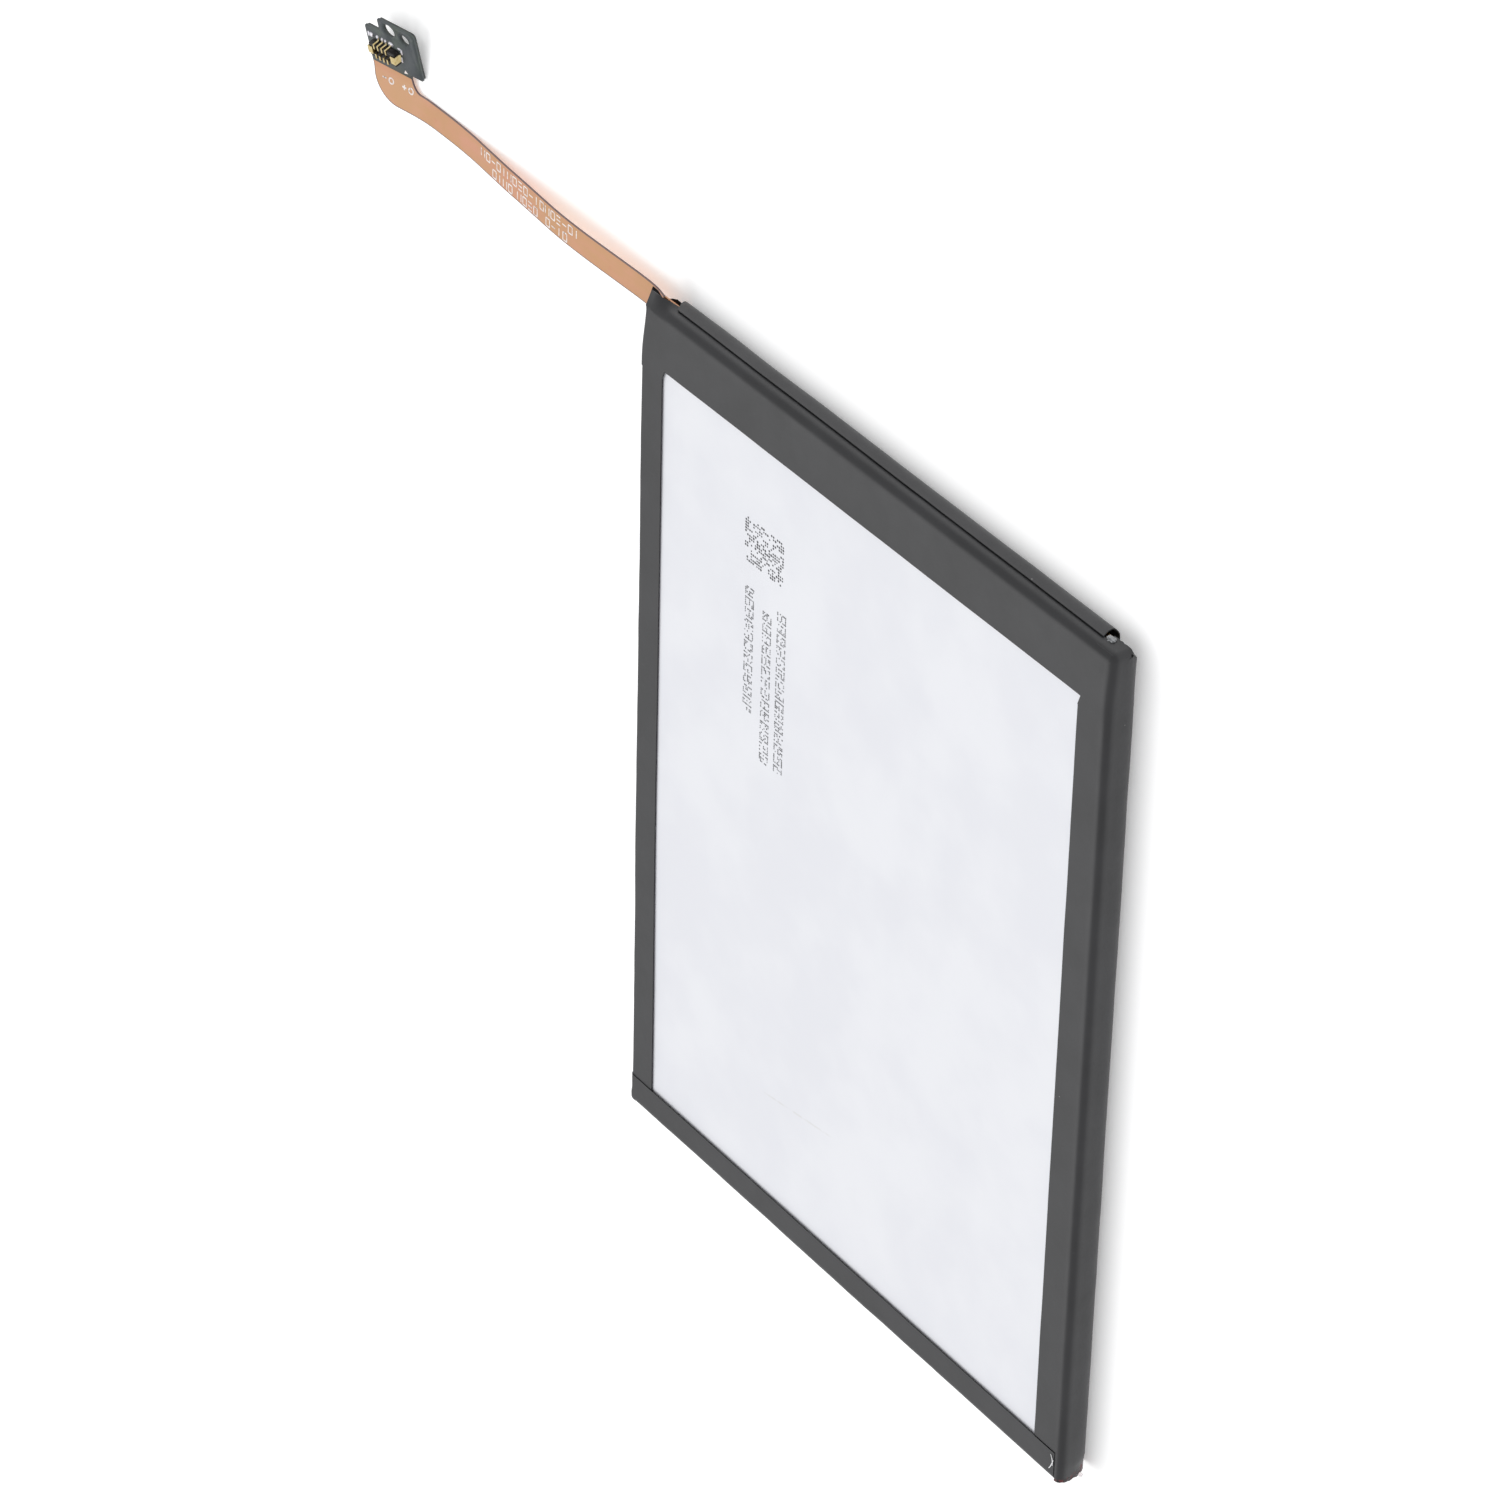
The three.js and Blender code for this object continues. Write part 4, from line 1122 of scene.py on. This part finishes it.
def under_ply():
    """The ply's grid: along the end wall, round the corner and a little way down the side."""
    path = [(PLY_START + (PLY_TURN - PLY_START) * k / 17, END - PLY_INSET) for k in range(18)]
    middle = END - PLY_INSET - PLY_ROUND
    for k in range(1, 7):
        a = math.pi / 2 * k / 6
        path.append((PLY_TURN + PLY_ROUND * math.sin(a), middle + PLY_ROUND * math.cos(a)))
    path += [(PLY_TURN + PLY_ROUND, middle - 0.25 * k) for k in range(1, 7)]
    lows = [PLY_LOW + 0.05 * noise.noise(Vector((k * 0.4, 2, 5))) for k in range(len(path))]
    return [[Vector((x, y, PLY_HIGH - (PLY_HIGH - low) * j / 8)) for (x, y), low in zip(path, lows)]
            for j in range(9)]


def lump(middle, radii, coarse, fine=0.0, pitch=1.8, subdivisions=4):
    """Builds an uneven lump round a point; coarse swellings come at the pitch, fine ones closer."""
    def build(form):
        bmesh.ops.create_icosphere(form, subdivisions=subdivisions, radius=1.0)
        for v in form.verts:
            rough = 1 + coarse * noise.noise(v.co * pitch) + fine * noise.noise(v.co * 4)
            swollen = Vector((v.co.x * radii[0], v.co.y * radii[1], v.co.z * radii[2])) * rough
            v.co = (swollen + Vector(middle)) * MM
    return build


loose_sheet("corner_under_ply", under_ply(), 0.08, black_tape)
# The lump's laminate is a darker grey copy of the pouch's: painted shade of its creases and of the open
# corner.
crumpled = laminate("shaded_crumpled_seal", shade(176, 178, 180), shade(84, 86, 90), 0.4, 0.4)
fitted(in_place("seal_corner", lump((30.35, END - 0.04, 2.0), (0.46, 0.16, 0.3), 0.6, 0.3)), crumpled,
       "pack")


# ---- lower right corner: torn tape and glue -------------------------------------------------------
# The bottom tape was torn off here, so its white core frays out in two curls. Past the side tape's foot
# lies a thin dark sheet with red-brown patches of old glue; its dark ground is painted shadow under the foot.
# There is one clear bead of the glue.
SMEAR_DEEP, SMEAR_SPAN = 0.1, 1.7         # below the tape's face, and up the side from the pack's end
BEAD_AT, BEAD_RADIUS = (32.43, -43.5, 1.4), 0.2
TORN = [((31.35, -40.66), (31.72, -41.15), (31.66, -41.75)), ((31.72, -41.1), (31.55, -41.9), (31.2, -42.35))]
TORN_HALF = 0.042


def glue_and_painted_shadow():
    # The dark ground is painted shadow; the red-brown patches are the glue's own colour.
    glue = Finish("glue_and_painted_shadow", roughness=0.4)
    patches = glue.noise(0.35 * MM, 3).ramp(0.42, 0.66)
    glue.feed(Base_Color=glue.mix(patches, shade(28, 24, 26), shade(98, 46, 48)))
    glue.feed(Roughness=0.3 + patches * 0.4)
    return glue.bump(glue.noise(0.2 * MM, 3), 0.03 * MM, 0.8).material


def clear_glue():
    glue = Finish("clear_glue", roughness=0.12, Transmission_Weight=0.85, IOR=1.47)
    glue.feed(Base_Color=glue.mix(glue.noise(0.2 * MM), shade(226, 214, 216), shade(250, 246, 246)))
    glue.feed(Roughness=0.08 + glue.noise(0.1 * MM) * 0.12)
    return glue.bump(glue.noise(0.12 * MM), 0.01 * MM, 0.5).material


def torn_core():
    core = Finish("torn_core", roughness=0.7)
    core.feed(Base_Color=core.mix(core.noise(0.08 * MM), shade(224, 224, 226), shade(250, 250, 250)))
    return core.bump(core.noise(0.05 * MM), 0.01 * MM, 0.6).material


def smear(steps=26):
    """The smear's grid, a sheet of painted shadow with glue patches on it, down the rounded side near the
    pack's end, with an uneven outer edge.
    """
    grid = []
    for k in range(steps + 1):
        row = []
        for inset, z, tilt, _ in section(FRONT_R, BACK_R):
            rise = 0.06 * noise.noise(Vector((k * 0.35, z * 2.2, 3))) - SMEAR_DEEP
            ragged = 0.12 * noise.noise(Vector((z * 2.5, 7, 1))) * (1 - k / steps)
            row.append(Vector((HALF - inset + rise * math.cos(tilt),
                               -END - 0.05 + SMEAR_SPAN * k / steps + ragged, z + rise * math.sin(tilt))))
        grid.append(row)
    return grid[::-1]


def curl(first, middle, last, number, steps=14):
    """A narrow sliver on a bent line, pointed at both ends."""
    grid = []
    for k in range(steps + 1):
        t = k / steps
        at = Vector(first) * (1 - t)**2 + Vector(middle) * 2 * t * (1 - t) + Vector(last) * t**2
        frayed = 1 + 0.5 * noise.noise(Vector((k, number, 0.5)))
        half = TORN_HALF * math.sin(math.pi * (0.08 + 0.84 * t)) * frayed
        grid.append([Vector((at.x + side * half, at.y, THICK + 0.2 - 0.02 * side * side))
                     for side in (-1, 0, 1)])
    return grid


# A dark sheet of painted shadow past the tape's foot, with red-brown patches of real glue on it.
loose_sheet("foot_glue_and_shadow", smear(), 0.06, glue_and_painted_shadow())
bead = lump(BEAD_AT, (BEAD_RADIUS,) * 3, 0.2, pitch=1.5, subdivisions=3)
fitted(in_place("glue_bead", bead), clear_glue(), "pack")
core = torn_core()
for number, points in enumerate(TORN, 1):
    loose_sheet(f"torn_edge_{number}", curl(*points, number), 0.03, core)
